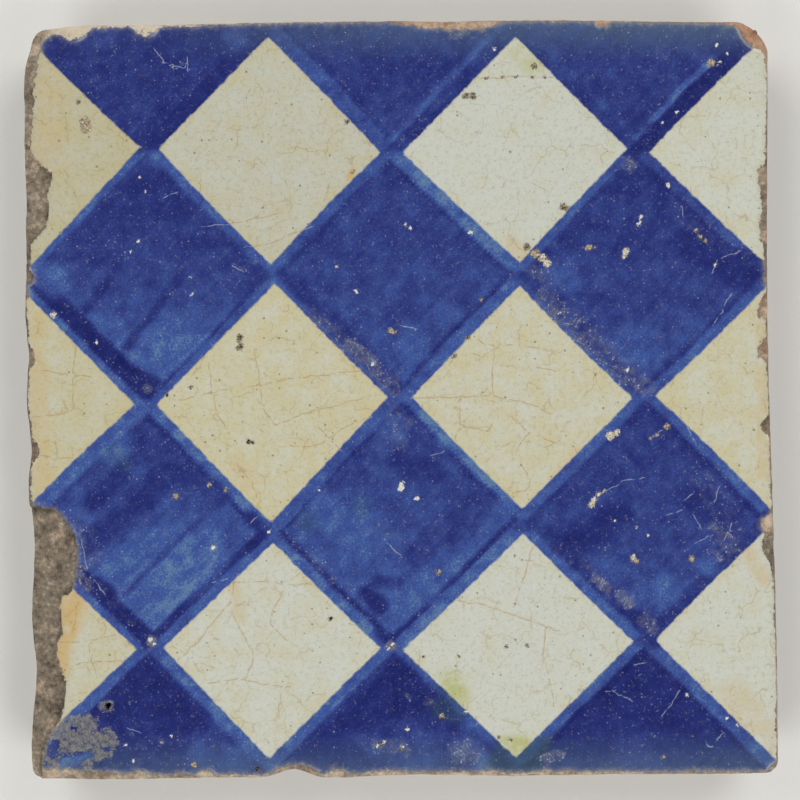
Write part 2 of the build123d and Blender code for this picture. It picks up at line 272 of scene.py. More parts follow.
# Scuffed patches of the blue: from, to, half the width, and how much of the paint is worn
SCUFFS = [
    ((-51.9, -52.5), (-51.2, -52.5), 1.1, 0.95), ((-43.4, -41.4), (-43.4, -41.4), 1.1, 1.0),
    ((-2.0, -42.7), (-2.0, -42.7), 1.1, 1.0), ((-43.7, 2.2), (-43.7, 2.2), 1.0, 0.6),
    ((-15.0, 14.5), (-1.0, 1.8), 1.9, 0.36), ((-8.5, 9.5), (-5.0, 6.5), 1.6, 0.55),
    ((-5.0, 5.5), (-1.5, 3.0), 1.6, 0.45), ((25.2, 16.8), (39.0, 4.0), 2.6, 0.4),
    ((26.0, 15.5), (29.0, 12.0), 1.5, 0.3), ((39.0, 5.0), (42.5, 1.5), 2.0, 0.42),
    ((40.0, 40.0), (40.0, 40.0), 1.6, 0.5), ((23.0, 22.0), (26.0, 20.5), 1.8, 0.3),
    ((47.0, 33.0), (59.0, 24.0), 2.6, 0.12), ((-56.0, -20.5), (-53.5, -27.0), 2.2, 0.26),
    ((-53.0, -31.5), (-46.0, -38.0), 1.3, 0.16), ((-19.5, -24.0), (-9.0, -33.5), 1.4, 0.16),
    ((-15.5, -27.5), (-14.0, -29.0), 1.2, 0.32), ((-0.9, -2.5), (-0.5, -7.5), 2.0, 0.28),
    ((-4.0, -23.0), (-1.0, -25.5), 2.6, 0.16), ((27.5, -26.0), (33.0, -30.5), 1.5, 0.18),
    ((33.5, -31.4), (35.3, -33.0), 1.2, 0.6), ((37.6, -34.2), (39.2, -35.6), 1.2, 0.65),
    ((41.7, -38.6), (43.2, -40.0), 1.4, 0.5), ((53.0, -14.5), (57.5, -27.0), 3.4, 0.2),
    ((54.6, -23.0), (57.0, -26.5), 2.0, 0.38),
    ((10.6, -60.0), (9.5, -62.0), 1.8, 0.4), ((4.4, -52.3), (4.4, -52.3), 1.1, 0.55),
    ((0.8, -51.4), (0.8, -51.4), 0.9, 0.45), ((-27.4, 22.8), (-25.5, 21.8), 1.4, 0.15),
    ((-45.0, 58.0), (-36.0, 55.0), 3.0, 0.08), ((-46.0, -58.0), (-38.0, -61.0), 3.0, 0.1),
    ((-4.6, -59.8), (0.2, -60.5), 1.5, 0.42), ((9.0, -60.6), (12.2, -61.8), 1.7, 0.48),
    ((24.6, -62.4), (26.8, -61.8), 1.2, 0.5), ((-57.8, -23.5), (-55.6, -29.0), 1.3, 0.4),
    ((26.2, 14.4), (27.6, 12.9), 0.8, 0.7), ((30.5, 10.0), (32.5, 8.5), 1.0, 0.5),
    ((-56.0, -29.5), (-54.6, -31.8), 1.2, 0.55), ((1.7, -3.7), (1.7, -3.7), 1.4, 0.3),
    ((9.5, 62.6), (12.0, 63.0), 0.8, 0.5), ((53.6, -27.2), (55.0, -28.2), 1.0, 0.5),
]
# Patches where a grey film has taken the place of the paint, in the same form
FILMS = [
    ((-58.4, -56.2), (-54.6, -55.6), 2.1, 1.0), ((-59.2, -58.7), (-51.4, -58.5), 2.3, 1.0),
    ((-53.6, -61.0), (-51.4, -60.7), 1.5, 0.95), ((-60.6, -61.8), (-58.6, -63.4), 1.6, 0.95),
    ((-55.0, -62.6), (-53.8, -63.4), 1.0, 0.9), ((-61.6, -57.0), (-59.6, -56.2), 1.5, 1.0),
]
# Flecks of paint left in the film: from, to, half the width, and the strength of the paint
FLECKS = [
    ((-60.3, -58.9), (-60.9, -60.8), 0.85, 1.2), ((-58.9, -62.3), (-56.6, -61.9), 0.95, 0.6),
    ((-56.6, -61.7), (-54.2, -60.9), 0.55, 0.75), ((-51.6, -59.9), (-51.3, -60.1), 0.5, 1.3),
    ((-57.4, -63.7), (-56.2, -63.5), 0.5, 1.9), ((-53.4, -63.1), (-51.5, -62.1), 0.55, 1.8),
    ((-51.5, -62.1), (-48.2, -62.8), 0.8, 1.5), ((-57.2, -56.3), (-56.8, -56.5), 0.4, 1.6),
]
# Amber stains of the white: from, to, half the width and strength
AMBER_STAINS = [
    ((-7.6, 39.5), (-8.4, 38.4), 0.7, 1.0),
    ((-57.0, -34.3), (-58.3, -39.5), 2.6, 1.0), ((-59.0, -41.0), (-59.4, -46.0), 2.0, 0.9),
    ((-62.5, 14.0), (-62.0, -15.5), 1.8, 0.4), ((-60.4, 55.0), (-60.0, 42.0), 3.4, 0.25),
    ((62.5, 12.0), (62.8, -14.0), 1.4, 0.3), ((60.0, -27.5), (62.5, -31.5), 1.6, 0.45),
    ((-28.3, -11.0), (-26.0, -14.0), 1.5, 0.35), ((19.5, 26.5), (21.5, 24.5), 1.6, 0.4),
    ((-29.5, -31.5), (-28.0, -37.5), 1.3, 0.3), ((27.0, -14.0), (31.0, -9.5), 1.8, 0.25),
    ((57.5, -52.0), (62.0, -59.0), 3.5, 0.3),
]
# Green stains of the glaze, in the same form
GREEN_STAINS = [
    ((7.9, -48.9), (9.3, -51.3), 2.3, 0.85), ((17.5, -60.0), (20.5, -60.2), 1.9, 0.9),
    ((22.4, -61.2), (24.2, -59.8), 1.7, 0.9),
    ((21.5, 59.5), (23.5, 56.8), 2.0, 0.45), ((6.5, -53.5), (9.0, -54.5), 2.2, 0.6),
    ((16.0, -63.0), (22.5, -63.0), 2.0, 0.8), ((-7.1, -18.6), (-7.1, -18.6), 2.0, 0.4),
    ((-16.2, -21.1), (-16.2, -21.1), 2.2, 0.45), ((-50.0, -9.0), (-48.0, -10.5), 2.0, 0.35),
]

# Tones of the chips and spots, as places along a ramp of their colours
SPOT_TONES = {"white": 0.0, "cream": 0.25, "tan": 0.5, "brown": 0.75, "black": 1.0}
# Chips and spots of the glaze by their tone: x and y of the middle, and radius
SPOTS = {
    # White spots: chips that show the white glaze, and some painted highlights where the glaze glints, as
    # those near (0, -15)
    "white": [
        (-43.6, -41.1, 0.42), (-43.0, -41.9, 0.32), (-1.7, -42.4, 0.3), (-2.4, -43.1, 0.25),
        (-44.9, 27.8, 0.32), (-46.3, 25.9, 0.22), (-44.6, 38.9, 0.2), (-43.6, 36.3, 0.2), (-36.1, 21.5, 0.2),
        (-35.8, 18.5, 0.24), (-52.5, 10.4, 0.25), (12.4, 28.6, 0.42), (2.0, 29.5, 0.3), (1.2, 30.2, 0.25),
        (-10.7, 23.1, 0.28), (-7.4, 18.7, 0.38), (-4.6, 6.1, 0.38), (46.7, 36.5, 0.42), (42.0, 31.0, 0.4),
        (41.6, 29.8, 0.35), (39.3, 4.6, 0.35), (27.6, 14.6, 0.3), (48.4, 49.0, 0.26), (45.9, 47.3, 0.26),
        (-32.6, -25.4, 0.45), (0.0, -15.4, 0.6), (0.2, -14.6, 0.35), (2.7, -17.2, 0.45),
        (-14.3, -15.6, 0.25), (42.6, -24.0, 0.28), (36.9, -21.5, 0.28), (40.7, -22.6, 0.24),
        (55.9, 57.7, 0.26), (55.4, 60.6, 0.26), (57.2, 59.2, 0.22), (-48.2, -59.3, 0.3),
        (-41.8, -58.9, 0.28), (-40.1, -57.8, 0.24), (-46.9, -62.1, 0.28), (49.0, -51.7, 0.32),
        (55.9, -55.8, 0.25), (57.6, -57.0, 0.25), (16.9, 60.3, 0.35), (-3.4, -59.2, 0.3),
        (-4.5, -60.0, 0.3), (-0.2, -60.2, 0.3), (0.7, -57.1, 0.32), (-23.0, -22.8, 0.28),
        (54.7, 22.6, 0.28), (10.8, -54.2, 0.35),
    ],
    "cream": [
        (39.3, 25.2, 0.62), (39.0, 24.2, 0.42), (25.6, 23.2, 0.75), (24.9, 24.3, 0.6), (36.2, -6.8, 0.8),
        (37.4, -6.2, 0.6), (32.9, -18.6, 0.6), (34.2, -16.8, 0.42), (33.4, -17.7, 0.48), (35.2, -16.2, 0.3),
        (40.0, -27.8, 0.5), (-59.8, 15.2, 0.55),
    ],
    "tan": [
        (14.2, 17.0, 0.3), (-1.6, 11.8, 0.5), (-0.6, 11.5, 0.3), (-7.8, 39.4, 0.32),
        (32.8, 25.8, 0.6), (51.5, 28.6, 0.4), (52.3, 27.5, 0.45), (53.1, 26.8, 0.35), (-39.0, -16.4, 0.55),
        (-33.2, -14.5, 0.4), (-30.3, -15.4, 0.4), (6.3, -30.0, 0.5), (46.1, -5.2, 0.55), (44.2, -6.6, 0.35),
        (43.2, -7.3, 0.3), (40.5, -28.5, 0.5), (50.1, -28.2, 0.55), (54.4, 57.5, 0.65), (6.6, -54.9, 0.5),
        (44.9, -62.4, 0.35), (-36.3, -62.9, 0.5), (33.9, 25.9, 0.25), (23.6, 24.9, 0.8), (24.7, 24.0, 0.6),
        (-54.0, 48.5, 0.85), (-53.7, 47.3, 0.85),
    ],
    "brown": [
        (22.2, 26.0, 0.6), (28.5, 32.9, 0.6), (29.2, 32.6, 0.45), (11.9, 52.3, 0.55),
        (13.2, 52.2, 0.55), (-8.7, 48.0, 0.45), (-27.6, 10.9, 0.6), (-27.6, 9.3, 0.6), (23.8, 57.3, 0.5),
        (-55.1, 51.9, 0.3), (9.6, -44.6, 0.25), (11.8, 10.6, 0.35), (9.6, 7.3, 0.32), (15.6, 55.3, 0.25),
        (18.3, 55.4, 0.2), (20.6, 55.5, 0.25), (23.4, 55.4, 0.2), (25.6, 55.4, 0.2), (16.4, -58.7, 0.3),
        (18.4, -59.1, 0.3), (17.9, -43.0, 0.3), (21.5, -42.9, 0.3),
    ],
    "black": [
        (-51.1, -52.5, 0.55), (-25.3, -63.7, 0.45), (-26.3, -7.1, 0.4), (-25.6, -7.25, 0.35),
        (-36.2, 2.5, 0.3), (-40.3, 1.1, 0.28), (-12.5, -37.9, 0.35), (3.6, -44.6, 0.25),
        (-3.9, -59.6, 0.25), (-0.6, -60.5, 0.3),
    ],
}

# Old cracks of the white glaze, and below them scratches of the blue, each as the points of a line
CRAZE_LINES = [
    [(-38.1, 0.2), (-30.3, 1.9), (-23.3, 2.8), (-19.0, 3.7), (-6.9, 4.9)],
    [(-33.0, 6.2), (-32.5, 1.9), (-31.7, -2.4), (-29.5, -5.7)],
    [(-25.0, 8.7), (-24.2, 3.2), (-23.9, -1.1), (-21.7, -4.3)],
    [(-21.7, -4.3), (-16.1, -2.1), (-11.3, -1.1), (-5.2, 0.6)],
    [(-16.1, -2.1), (-12.2, -7.0), (-10.5, -8.7)],
    [(-20.9, -7.9), (-15.3, -8.1), (-12.7, -7.0), (-9.6, -4.6), (-5.2, -3.1)],
    [(-28.3, -11.1), (-25.8, -14.1), (-24.4, -18.1)],
    [(-60.0, -41.5), (-54.9, -41.4), (-49.7, -40.3)],
    [(-57.1, -45.7), (-55.0, -44.9), (-48.6, -44.8)],
    [(-54.4, -41.4), (-53.8, -45.1), (-52.9, -47.5)],
    [(-56.1, -34.5), (-57.0, -39.3)],
    [(1.9, 0.1), (10.4, 0.2), (16.1, 0.4), (19.5, -0.4), (23.5, -1.6), (26.9, -3.2)],
    [(13.4, 10.4), (14.4, 9.3), (17.9, 9.0), (23.4, 8.8), (26.5, 7.7)],
    [(16.5, 8.8), (15.9, 3.4), (16.1, 0.5)],
    [(10.2, -0.5), (10.3, -4.6), (9.4, -6.9)],
    [(10.3, -4.8), (13.2, -5.2), (14.8, -5.9), (16.4, -4.0)],
    [(19.0, -3.0), (22.2, -6.0), (27.2, -8.1)],
    [(22.2, -6.1), (19.9, -9.2)],
    [(20.8, -11.6), (22.3, -14.1), (22.3, -15.6), (19.3, -16.6)],
    [(-29.1, -31.3), (-22.2, -31.4), (-19.4, -32.0), (-15.8, -31.8)],
    [(-29.1, -31.3), (-29.8, -35.0), (-31.7, -36.8), (-35.2, -41.3), (-38.7, -44.7)],
    [(-29.6, -36.3), (-27.8, -40.0), (-25.7, -44.2), (-27.0, -48.1)],
    [(-33.6, -48.8), (-28.4, -48.1), (-24.4, -49.0), (-19.6, -49.6)],
    [(-20.8, -33.2), (-22.4, -36.4), (-22.9, -38.8), (-20.0, -41.6)],
    [(-21.1, -49.6), (-21.7, -54.6)],
    [(-55.9, 9.4), (-56.7, 4.9), (-56.4, -1.3)],
    [(-62.6, 5.7), (-56.7, 4.8), (-53.6, 4.4)],
    [(-63.3, -2.3), (-59.5, -2.1), (-56.1, -1.3)],
    [(-62.4, -9.2), (-56.8, -9.6)],
    [(9.5, -35.0), (14.5, -35.8), (17.3, -37.0), (20.7, -38.1), (24.7, -39.5), (26.8, -40.4)],
    [(22.5, -26.0), (21.4, -29.9), (19.4, -35.9)],
    [(24.9, -39.7), (24.2, -44.4), (25.5, -49.9), (26.0, -53.0)],
    [(14.8, 55.2), (20.6, 55.5), (27.2, 55.3)],
    [(-34.0, 30.2), (-28.6, 30.6), (-20.0, 32.4)],
    [(-26.5, 26.5), (-22.0, 27.2), (-15.0, 30.0)],
]
SCRATCHES = [
    [(-40.1, 35.3), (-37.5, 36.4)], [(-28.5, 23.4), (-26.3, 22.0)], [(0.1, 12.6), (2.5, 12.2)],
    [(54.2, 21.3), (55.0, 23.4)], [(56.1, 23.8), (59.0, 24.9)], [(49.0, 32.6), (49.3, 31.0)],
    [(25.5, 13.0), (30.0, 12.6)], [(-55.4, -24.3), (-54.9, -26.5), (-54.5, -28.6)],
    [(-32.8, -31.3), (-30.4, -30.8)], [(-26.2, -21.3), (-25.2, -20.2)], [(-53.0, -31.0), (-51.5, -33.2)],
    [(-2.9, -24.4), (-0.3, -27.0)], [(5.6, -9.7), (7.4, -9.0)], [(43.3, -7.2), (45.2, -6.0)],
    [(35.2, -16.4), (38.6, -14.5), (41.8, -14.1)], [(48.4, -18.6), (50.6, -16.8)],
    [(50.6, -25.6), (53.0, -24.3)], [(50.5, -20.7), (51.6, -22.8)], [(54.2, -18.2), (55.0, -15.6)],
    [(54.5, -21.5), (57.0, -24.2)], [(55.6, -25.2), (57.2, -22.0)], [(46.3, -20.4), (48.4, -19.8)],
    [(-41.8, 60.9), (-38.5, 57.2)], [(-36.3, 60.8), (-36.0, 56.8)], [(-40.2, 58.6), (-36.8, 57.6)],
    [(-47.7, -56.4), (-45.6, -57.1)], [(36.1, -50.7), (39.2, -52.5)], [(24.0, 5.2), (27.0, 4.6)],
    [(40.1, -46.4), (41.5, -46.1)], [(45.0, -55.1), (47.7, -51.1)], [(35.1, -50.9), (36.5, -50.7)],
    [(52.2, -59.6), (52.5, -60.5), (53.3, -60.7)], [(53.6, -60.2), (55.0, -58.6)],
    [(56.2, 15.5), (57.4, 17.4)], [(54.6, 12.6), (55.8, 14.4)], [(49.8, -5.8), (51.0, -8.4)],
]

# The studio, in metres: the inner ring of the floor, how far out its flat goes, the radius of the bend up to
# the backdrop, the backdrop's rise above that, and the gap under the tile
FLOOR_MIDDLE = 0.2
FLOOR_FLAT = 0.55
FLOOR_BEND = 0.5
BACKDROP_RISE = 0.4
FLOOR_GAP = 0.0001
FLOOR_BEND_STEPS = 9
FLOOR_SPOKES = 72
FLOOR_ROUGHNESS = 0.75
# The camera's sensor, and where over the face it stands, in millimetres
SENSOR_WIDTH = 36.0
CAMERA_X = -0.03
CAMERA_Y = -0.18


def srgb(red, green, blue):
    """A linear colour from sRGB levels of 0 to 255."""
    shares = [level / 255 for level in (red, green, blue)]
    return tuple(share / 12.92 if share <= 0.04045 else ((share + 0.055) / 1.055) ** 2.4 for share in shares)


def eased(values, low, high):
    """0 below low, 1 above high and an easy curve between."""
    share = np.clip((values - low) / (high - low), 0, 1)
    return share * share * (3 - 2 * share)


def cloud(places, size, layer):
    """Smooth noise from about -1 to 1 at places in the plane or in space, with lumps of a size."""
    if places.shape[1] == 2:
        return np.array([noise.noise(Vector((x / size, y / size, layer))) for x, y in places])
    return np.array([noise.noise(Vector((x / size + layer, y / size, z / size))) for x, y, z in places])


def layered(places, layers):
    """Layers of noise at places, added up."""
    return sum(height * cloud(places, size, layer) for height, size, layer in layers)


def white_sides():
    """Each white's painted sides by (column, row), as {side: (start, end, bow)}, clockwise round it."""
    sides = {}
    for place, (left, top, right, bottom, bows) in WHITE_DIAMONDS.items():
        corners = (left, top, right, bottom, left)
        names = ("up_left", "up_right", "low_right", "low_left")
        sides[place] = {name: (corners[k], corners[k + 1], bows[k]) for k, name in enumerate(names)}
    for place, (inner, upper, lower, (upper_bow, lower_bow)) in WHITE_HALVES.items():
        if place[0] == 0:
            sides[place] = {"up_right": (upper, inner, upper_bow), "low_right": (inner, lower, lower_bow)}
        else:
            sides[place] = {"low_left": (lower, inner, lower_bow), "up_left": (inner, upper, upper_bow)}
    return sides


def side_depth(places, start, end, bow):
    """How far places lie inside one side of a white, whose painted line bows out in its middle."""
    along = np.subtract(end, start)
    length = np.hypot(*along)
    along = along / length
    offset = places - np.array(start)
    travel = np.clip(offset @ along / length, 0, 1)
    return offset[:, 0] * along[1] - offset[:, 1] * along[0] + 4 * bow * travel * (1 - travel)


def segment_distance(places, start, end):
    """Distance of places from the straight line between two points, which may be one point."""
    along = np.subtract(end, start)
    offset = places - np.array(start)
    travel = np.clip(offset @ along / max(along @ along, 1e-9), 0, 1)
    return np.hypot(*(offset - travel[:, None] * along).T)


def white_fields(places, sides):
    """How far places lie inside the nearest white, below 0 on the blue, and its warmth and painted shade."""
    depth = np.full(len(places), -np.inf)
    tones = np.zeros((len(places), 2))
    for place, outline in sides.items():
        inside = np.min([side_depth(places, *side) for side in outline.values()], axis=0)
        tones[inside > depth] = WHITE_TONES[place]
        depth = np.maximum(depth, inside)
    return depth, tones[:, 0], tones[:, 1]


def area_strength(places, place, sides, sway):
    """Strength of the paint in one blue area: fill, lines inside its sides, and outline strokes."""
    middle, top, bottom, strokes = BLUE_AREAS[place]
    reach = 18.0  # the fill has its first and last strengths this far above and below the middle
    stroke_fade = 0.3
    line_fade = 0.25
    fill_fade = 0.4
    drop = np.clip((middle[1] - places[:, 1]) / reach, -1, 1)
    strength = (top + bottom) / 2 + (bottom - top) / 2 * drop
    depths = {}
    for side in strokes:
        column_step, row_step, white_side = WHITE_BESIDE[side]
        white = sides[place[0] + column_step, place[1] + row_step]
        depths[side] = -side_depth(places, *white[white_side]) + sway
    for side, (width, tone, line_width, line_tone) in strokes.items():
        if line_width:
            inner = width + line_width
            share = eased(depths[side], width - line_fade, width + line_fade)
            share *= 1 - eased(depths[side], inner - stroke_fade, inner + fill_fade)
            strength += (line_tone - strength) * share
    for side, (width, tone, line_width, line_tone) in strokes.items():
        share = 1 - eased(depths[side], width - stroke_fade, width + stroke_fade)
        strength += (tone - strength) * share
    return strength


def paint_field(places, sides):
    """Strength of the blue paint at places on the face."""
    merging = 0.8  # distance over which neighbouring areas run into each other
    cover = 0.8  # how much of what lies under it a single mark hides
    raggedness = 3  # how much more the washes sway than the strokes
    sway = layered(places, BRUSH_SWAY)
    middles = np.array([middle for middle, *rest in BLUE_AREAS.values()])
    distances = np.abs(places[:, None, :] - middles[None]).sum(axis=2)
    shares = np.exp(-(distances - distances.min(axis=1)[:, None]) / merging)
    shares /= shares.sum(axis=1)[:, None]
    strength = np.zeros(len(places))
    for share, place in zip(shares.T, BLUE_AREAS):
        strength += share * area_strength(places, place, sides, sway)
    strength += layered(places, WASH_CLOUDS)
    for middle, radius, tone in THIN_WASHES:
        distance = np.hypot(*(places - np.array(middle)).T) + raggedness * sway
        strength += (tone - strength) * cover * (1 - eased(distance, 0.3 * radius, 1.4 * radius))
    for start, end, width, tone in BRUSH_MARKS:
        distance = segment_distance(places, start, end) + sway
        strength += (tone - strength) * cover * (1 - eased(distance, 0.2 * width, 0.75 * width))
    return strength


def patch_field(places, patches):
    """How strongly places lie in soft patches, each round a line with a half width and a strength."""
    share = np.zeros(len(places))
    for start, end, half_width, strength in patches:
        distance = segment_distance(places, start, end)
        share = np.maximum(share, strength * (1 - eased(distance, 0.4 * half_width, 1.3 * half_width)))
    return share


def spot_fields(places):
    """How far places lie inside the nearest chip or spot, less than 0 outside, and that spot's tone."""
    inside = np.full(len(places), -FAR_OFF)
    tones = np.zeros(len(places))
    for name, spots in SPOTS.items():
        for x, y, radius in spots:
            depth = radius - np.hypot(places[:, 0] - x, places[:, 1] - y)
            tones[depth > inside] = SPOT_TONES[name]
            inside = np.maximum(inside, depth)
    return inside, tones


def line_fields(places):
    """Distance of places across the nearest crack or scratch, and how far they lie within its reach."""
    reach = 0.6
    nearest = np.full(len(places), FAR_OFF)
    across = np.full(len(places), FAR_OFF)
    for line in CRAZE_LINES + SCRATCHES:
        for start, end in zip(line, line[1:]):
            distance = segment_distance(places, start, end)
            closer = distance < nearest
            across[closer] = side_depth(places[closer], start, end, 0.0)
            nearest = np.minimum(nearest, distance)
    return across, reach - nearest


def teal_field(places):
    """How far the blue turns to teal near the upper and lower edges."""
    strength = np.interp(places[:, 0], *zip(*TEAL_ABOVE))
    strength = np.where(places[:, 1] > 0, strength, TEAL_BELOW)
    return strength * eased(np.abs(places[:, 1]), *TEAL_REACH)


class SolidProbe:
    """Finds places on the tile's CAD solid with rays, in millimetres."""

    def __init__(self, node):
        corners = [vertex.co / MM for vertex in node.data.vertices]
        self.tree = BVHTree.FromPolygons(corners, [tuple(face.vertices) for face in node.data.polygons])

    def reach(self, direction, height):
        """How far out the solid goes from the middle, in a level direction, at a height."""
        start = Vector((*(direction * RAY_START), height))
        hit = self.tree.ray_cast(start, Vector((*-direction, 0)))[0]
        if hit is None:
            raise RuntimeError(f"The tile's solid has no side at a height of {height:.2f} mm")
        return hit.xy.length

    def height(self, x, y):
        """Height of the solid's top at a place in plan, which is no number past its edge."""
        hit = self.tree.ray_cast(Vector((x, y, RAY_START_HEIGHT)), Vector((0, 0, -1)))[0]
        return hit.z if hit else np.nan

    def brim(self, direction):
        """Reach and height of the side's outermost point, which is lower where the rim has broken away."""
        highest = THICKNESS - FACE_GAP
        heights = np.linspace(THICKNESS - BREAK_DEPTH, highest, BRIM_TRIES)
        best = max(heights, key=lambda height: self.reach(direction, height))
        close = np.linspace(best - CLOSE_REACH, min(best + CLOSE_REACH, highest), CLOSE_TRIES)
        best = max(close, key=lambda height: self.reach(direction, height))
        return self.reach(direction, best), best


def round_the_edge(cells):
    """(i, j) of the outer points of a square grid, anticlockwise from its lower left corner."""
    bottom = [(i, 0) for i in range(cells)]
    right = [(cells, j) for j in range(cells)]
    top = [(i, cells) for i in range(cells, 0, -1)]
    left = [(0, j) for j in range(cells, 0, -1)]
    return np.array(bottom + right + top + left)


def spread_grid(ring, cells, shares):
    """Plan places of a whole grid, spread evenly between the points of its outer ring."""
    grid = np.zeros((cells + 1, cells + 1, 2))
    edge = round_the_edge(cells)
    grid[edge[:, 0], edge[:, 1]] = ring
    across = shares[:, None, None]
    up = shares[None, :, None]
    sideways = (1 - across) * grid[:1, :] + across * grid[-1:, :]
    upright = (1 - up) * grid[:, :1] + up * grid[:, -1:]
    low = (1 - across) * grid[:1, :1] + across * grid[-1:, :1]
    high = (1 - across) * grid[:1, -1:] + across * grid[-1:, -1:]
    inner = sideways + upright - (1 - up) * low - up * high
    inner[edge[:, 0], edge[:, 1]] = ring
    return inner


def plan_tree(places):
    """A search tree of places in the plane."""
    tree = KDTree(len(places))
    for number, (x, y) in enumerate(places):
        tree.insert((x, y, 0), number)
    tree.balance()
    return tree


def grid_quads(ids):
    """Faces of four corners between the numbered points of a grid."""
    return np.stack([ids[:-1, :-1], ids[1:, :-1], ids[1:, 1:], ids[:-1, 1:]], axis=-1).reshape(-1, 4)


def plan_shares(places):
    """Shares of the way across and up the tile's box at places in plan."""
    return ((places - TILE_LOW[:2]) / (TILE_HIGH[:2] - TILE_LOW[:2])).T


def on_chart(chart, across, up):
    """Texture places at shares across and up a chart."""
    left, bottom, width, height = chart
    return np.stack([left + width * across, bottom + height * up], axis=-1)


class TileForm:
    """Points, faces and texture places of the tile's closed mesh, fitted to the CAD solid."""

    def __init__(self, probe):
        self.probe = probe
        self.faces = []
        self.texture = []
        steps = np.linspace(-1, 1, FACE_CELLS + 1)
        steps = (1 - RIM_CROWDING) * steps + RIM_CROWDING * np.sin(steps * np.pi / 2)
        self.shares = (steps + 1) / 2
        self.edge = round_the_edge(FACE_CELLS)
        square = np.stack([HALF_WIDTH * steps[self.edge[:, 0]], HALF_LENGTH * steps[self.edge[:, 1]]], 1)
        self.directions = square / np.hypot(*square.T)[:, None]
        self.make_face()
        self.make_sides()
        self.make_back()

    def add_faces(self, faces, texture):
        """Keeps faces of like numbers of corners, and the texture place of each corner."""
        self.faces += np.asarray(faces).tolist()
        self.texture.append(np.asarray(texture).reshape(-1, 2))

    def make_face(self):
        """The glazed face, from the rim inwards, at the heights that the solid gives."""
        brims = np.array([self.probe.brim(Vector(direction)) for direction in self.directions])
        outline = self.directions * brims[:, :1]
        self.ring = self.directions * (brims[:, :1] + layered(outline, RIM_CHATTER)[:, None])
        self.brim_heights = brims[:, 1]
        self.plan = spread_grid(self.ring, FACE_CELLS, self.shares).reshape(-1, 2)
        self.ring_ids = self.edge[:, 0] * (FACE_CELLS + 1) + self.edge[:, 1]
        self.pin_spots()
        heights = np.array([self.probe.height(x, y) for x, y in self.plan])
        heights[self.ring_ids] = self.brim_heights
        self.heights = np.where(np.isnan(heights), THICKNESS - EDGE_DROP, heights)
        quads = grid_quads(np.arange(len(self.plan)).reshape(FACE_CELLS + 1, FACE_CELLS + 1))
        self.add_faces(quads, on_chart(FACE_CHART, *plan_shares(self.plan))[quads])

    def pin_spots(self):
        """Moves the nearest inner point of the grid onto each spot, so that small spots keep their shape."""
        inner = np.setdiff1d(np.arange(len(self.plan)), self.ring_ids)
        tree = plan_tree(self.plan[inner])
        for spots in SPOTS.values():
            for x, y, radius in spots:
                self.plan[inner[tree.find((x, y, 0))[1]]] = (x, y)

    def make_sides(self):
        """Rows of points down the knife-cut sides."""
        rows = []
        for row in range(1, SIDE_ROWS + 1):
            heights = self.brim_heights * (1 - row / SIDE_ROWS)
            probe_heights = np.maximum(heights, BACK_GAP)
            reaches = [self.probe.reach(Vector(d), h) for d, h in zip(self.directions, probe_heights)]
            points = np.column_stack([self.directions * np.array(reaches)[:, None], heights])
            drag = layered(points * KNIFE_STRETCH, KNIFE_DRAG) + layered(points, SIDE_GRIT)
            points[:, :2] += self.directions * drag[:, None]
            rows.append(points)
        self.side_points = np.concatenate(rows)
        around = len(self.edge)
        along = np.arange(around) % FACE_CELLS / FACE_CELLS
        charts = np.array([SIDE_CHARTS[k // FACE_CELLS] for k in range(around)]).T
        above = self.ring_ids
        for row in range(SIDE_ROWS):
            below = len(self.plan) + row * around + np.arange(around)
            quads = np.stack([above, below, np.roll(below, -1), np.roll(above, -1)], axis=1)
            steps = ((row, 0), (row + 1, 0), (row + 1, 1), (row, 1))
            places = [on_chart(charts, down / SIDE_ROWS, along + step / FACE_CELLS) for down, step in steps]
            self.add_faces(quads, np.stack(places, axis=1))
            above = below
        self.foot_ids = above

    def make_back(self):
        """The plain back, in larger cells, joined to the foot of the sides by a ring of triangles."""
        cells = FACE_CELLS // BACK_STEP
        foot = self.side_points[-len(self.edge):, :2]
        ring = foot[::BACK_STEP] * FOOT_SHARE
        plan = spread_grid(ring, cells, self.shares[::BACK_STEP]).reshape(-1, 2)
        hollow = BACK_DEPTH * np.clip(layered(plan, BACK_LUMPS), 0, 1)
        first = len(self.plan) + len(self.side_points)
        self.back_points = np.column_stack([plan, hollow])
        places = np.zeros((first + len(plan), 2))
        places[self.foot_ids] = foot
        places[first:] = plan
        places = on_chart(BACK_CHART, *plan_shares(places))
        ids = first + np.arange(len(plan)).reshape(cells + 1, cells + 1)
        quads = grid_quads(ids)[:, [0, 3, 2, 1]]  # seen from below, so the corners go round the other way
        self.add_faces(quads, places[quads])
        edge = round_the_edge(cells)
        inner = ids[edge[:, 0], edge[:, 1]]
        half = BACK_STEP // 2
        triangles = []
        for k, (here, there) in enumerate(zip(inner, np.roll(inner, -1))):
            outer = [self.foot_ids[(k * BACK_STEP + step) % len(self.edge)] for step in range(BACK_STEP + 1)]
            triangles += [(outer[s + 1], outer[s], here) for s in range(half)]
            triangles.append((outer[half], here, there))
            triangles += [(outer[s + 1], outer[s], there) for s in range(half, BACK_STEP)]
        triangles = np.array(triangles)
        self.add_faces(triangles, places[triangles])

    def rim_values(self, column):
        """One column of the rim's wear at each point of the ring."""
        values = []
        for number, stations in enumerate(RIM_WEAR.values()):
            shares = self.shares[:-1] if number < 2 else 1 - self.shares[:0:-1]
            values.append(np.interp(shares, [row[0] for row in stations], [row[column] for row in stations]))
        return np.concatenate(values)


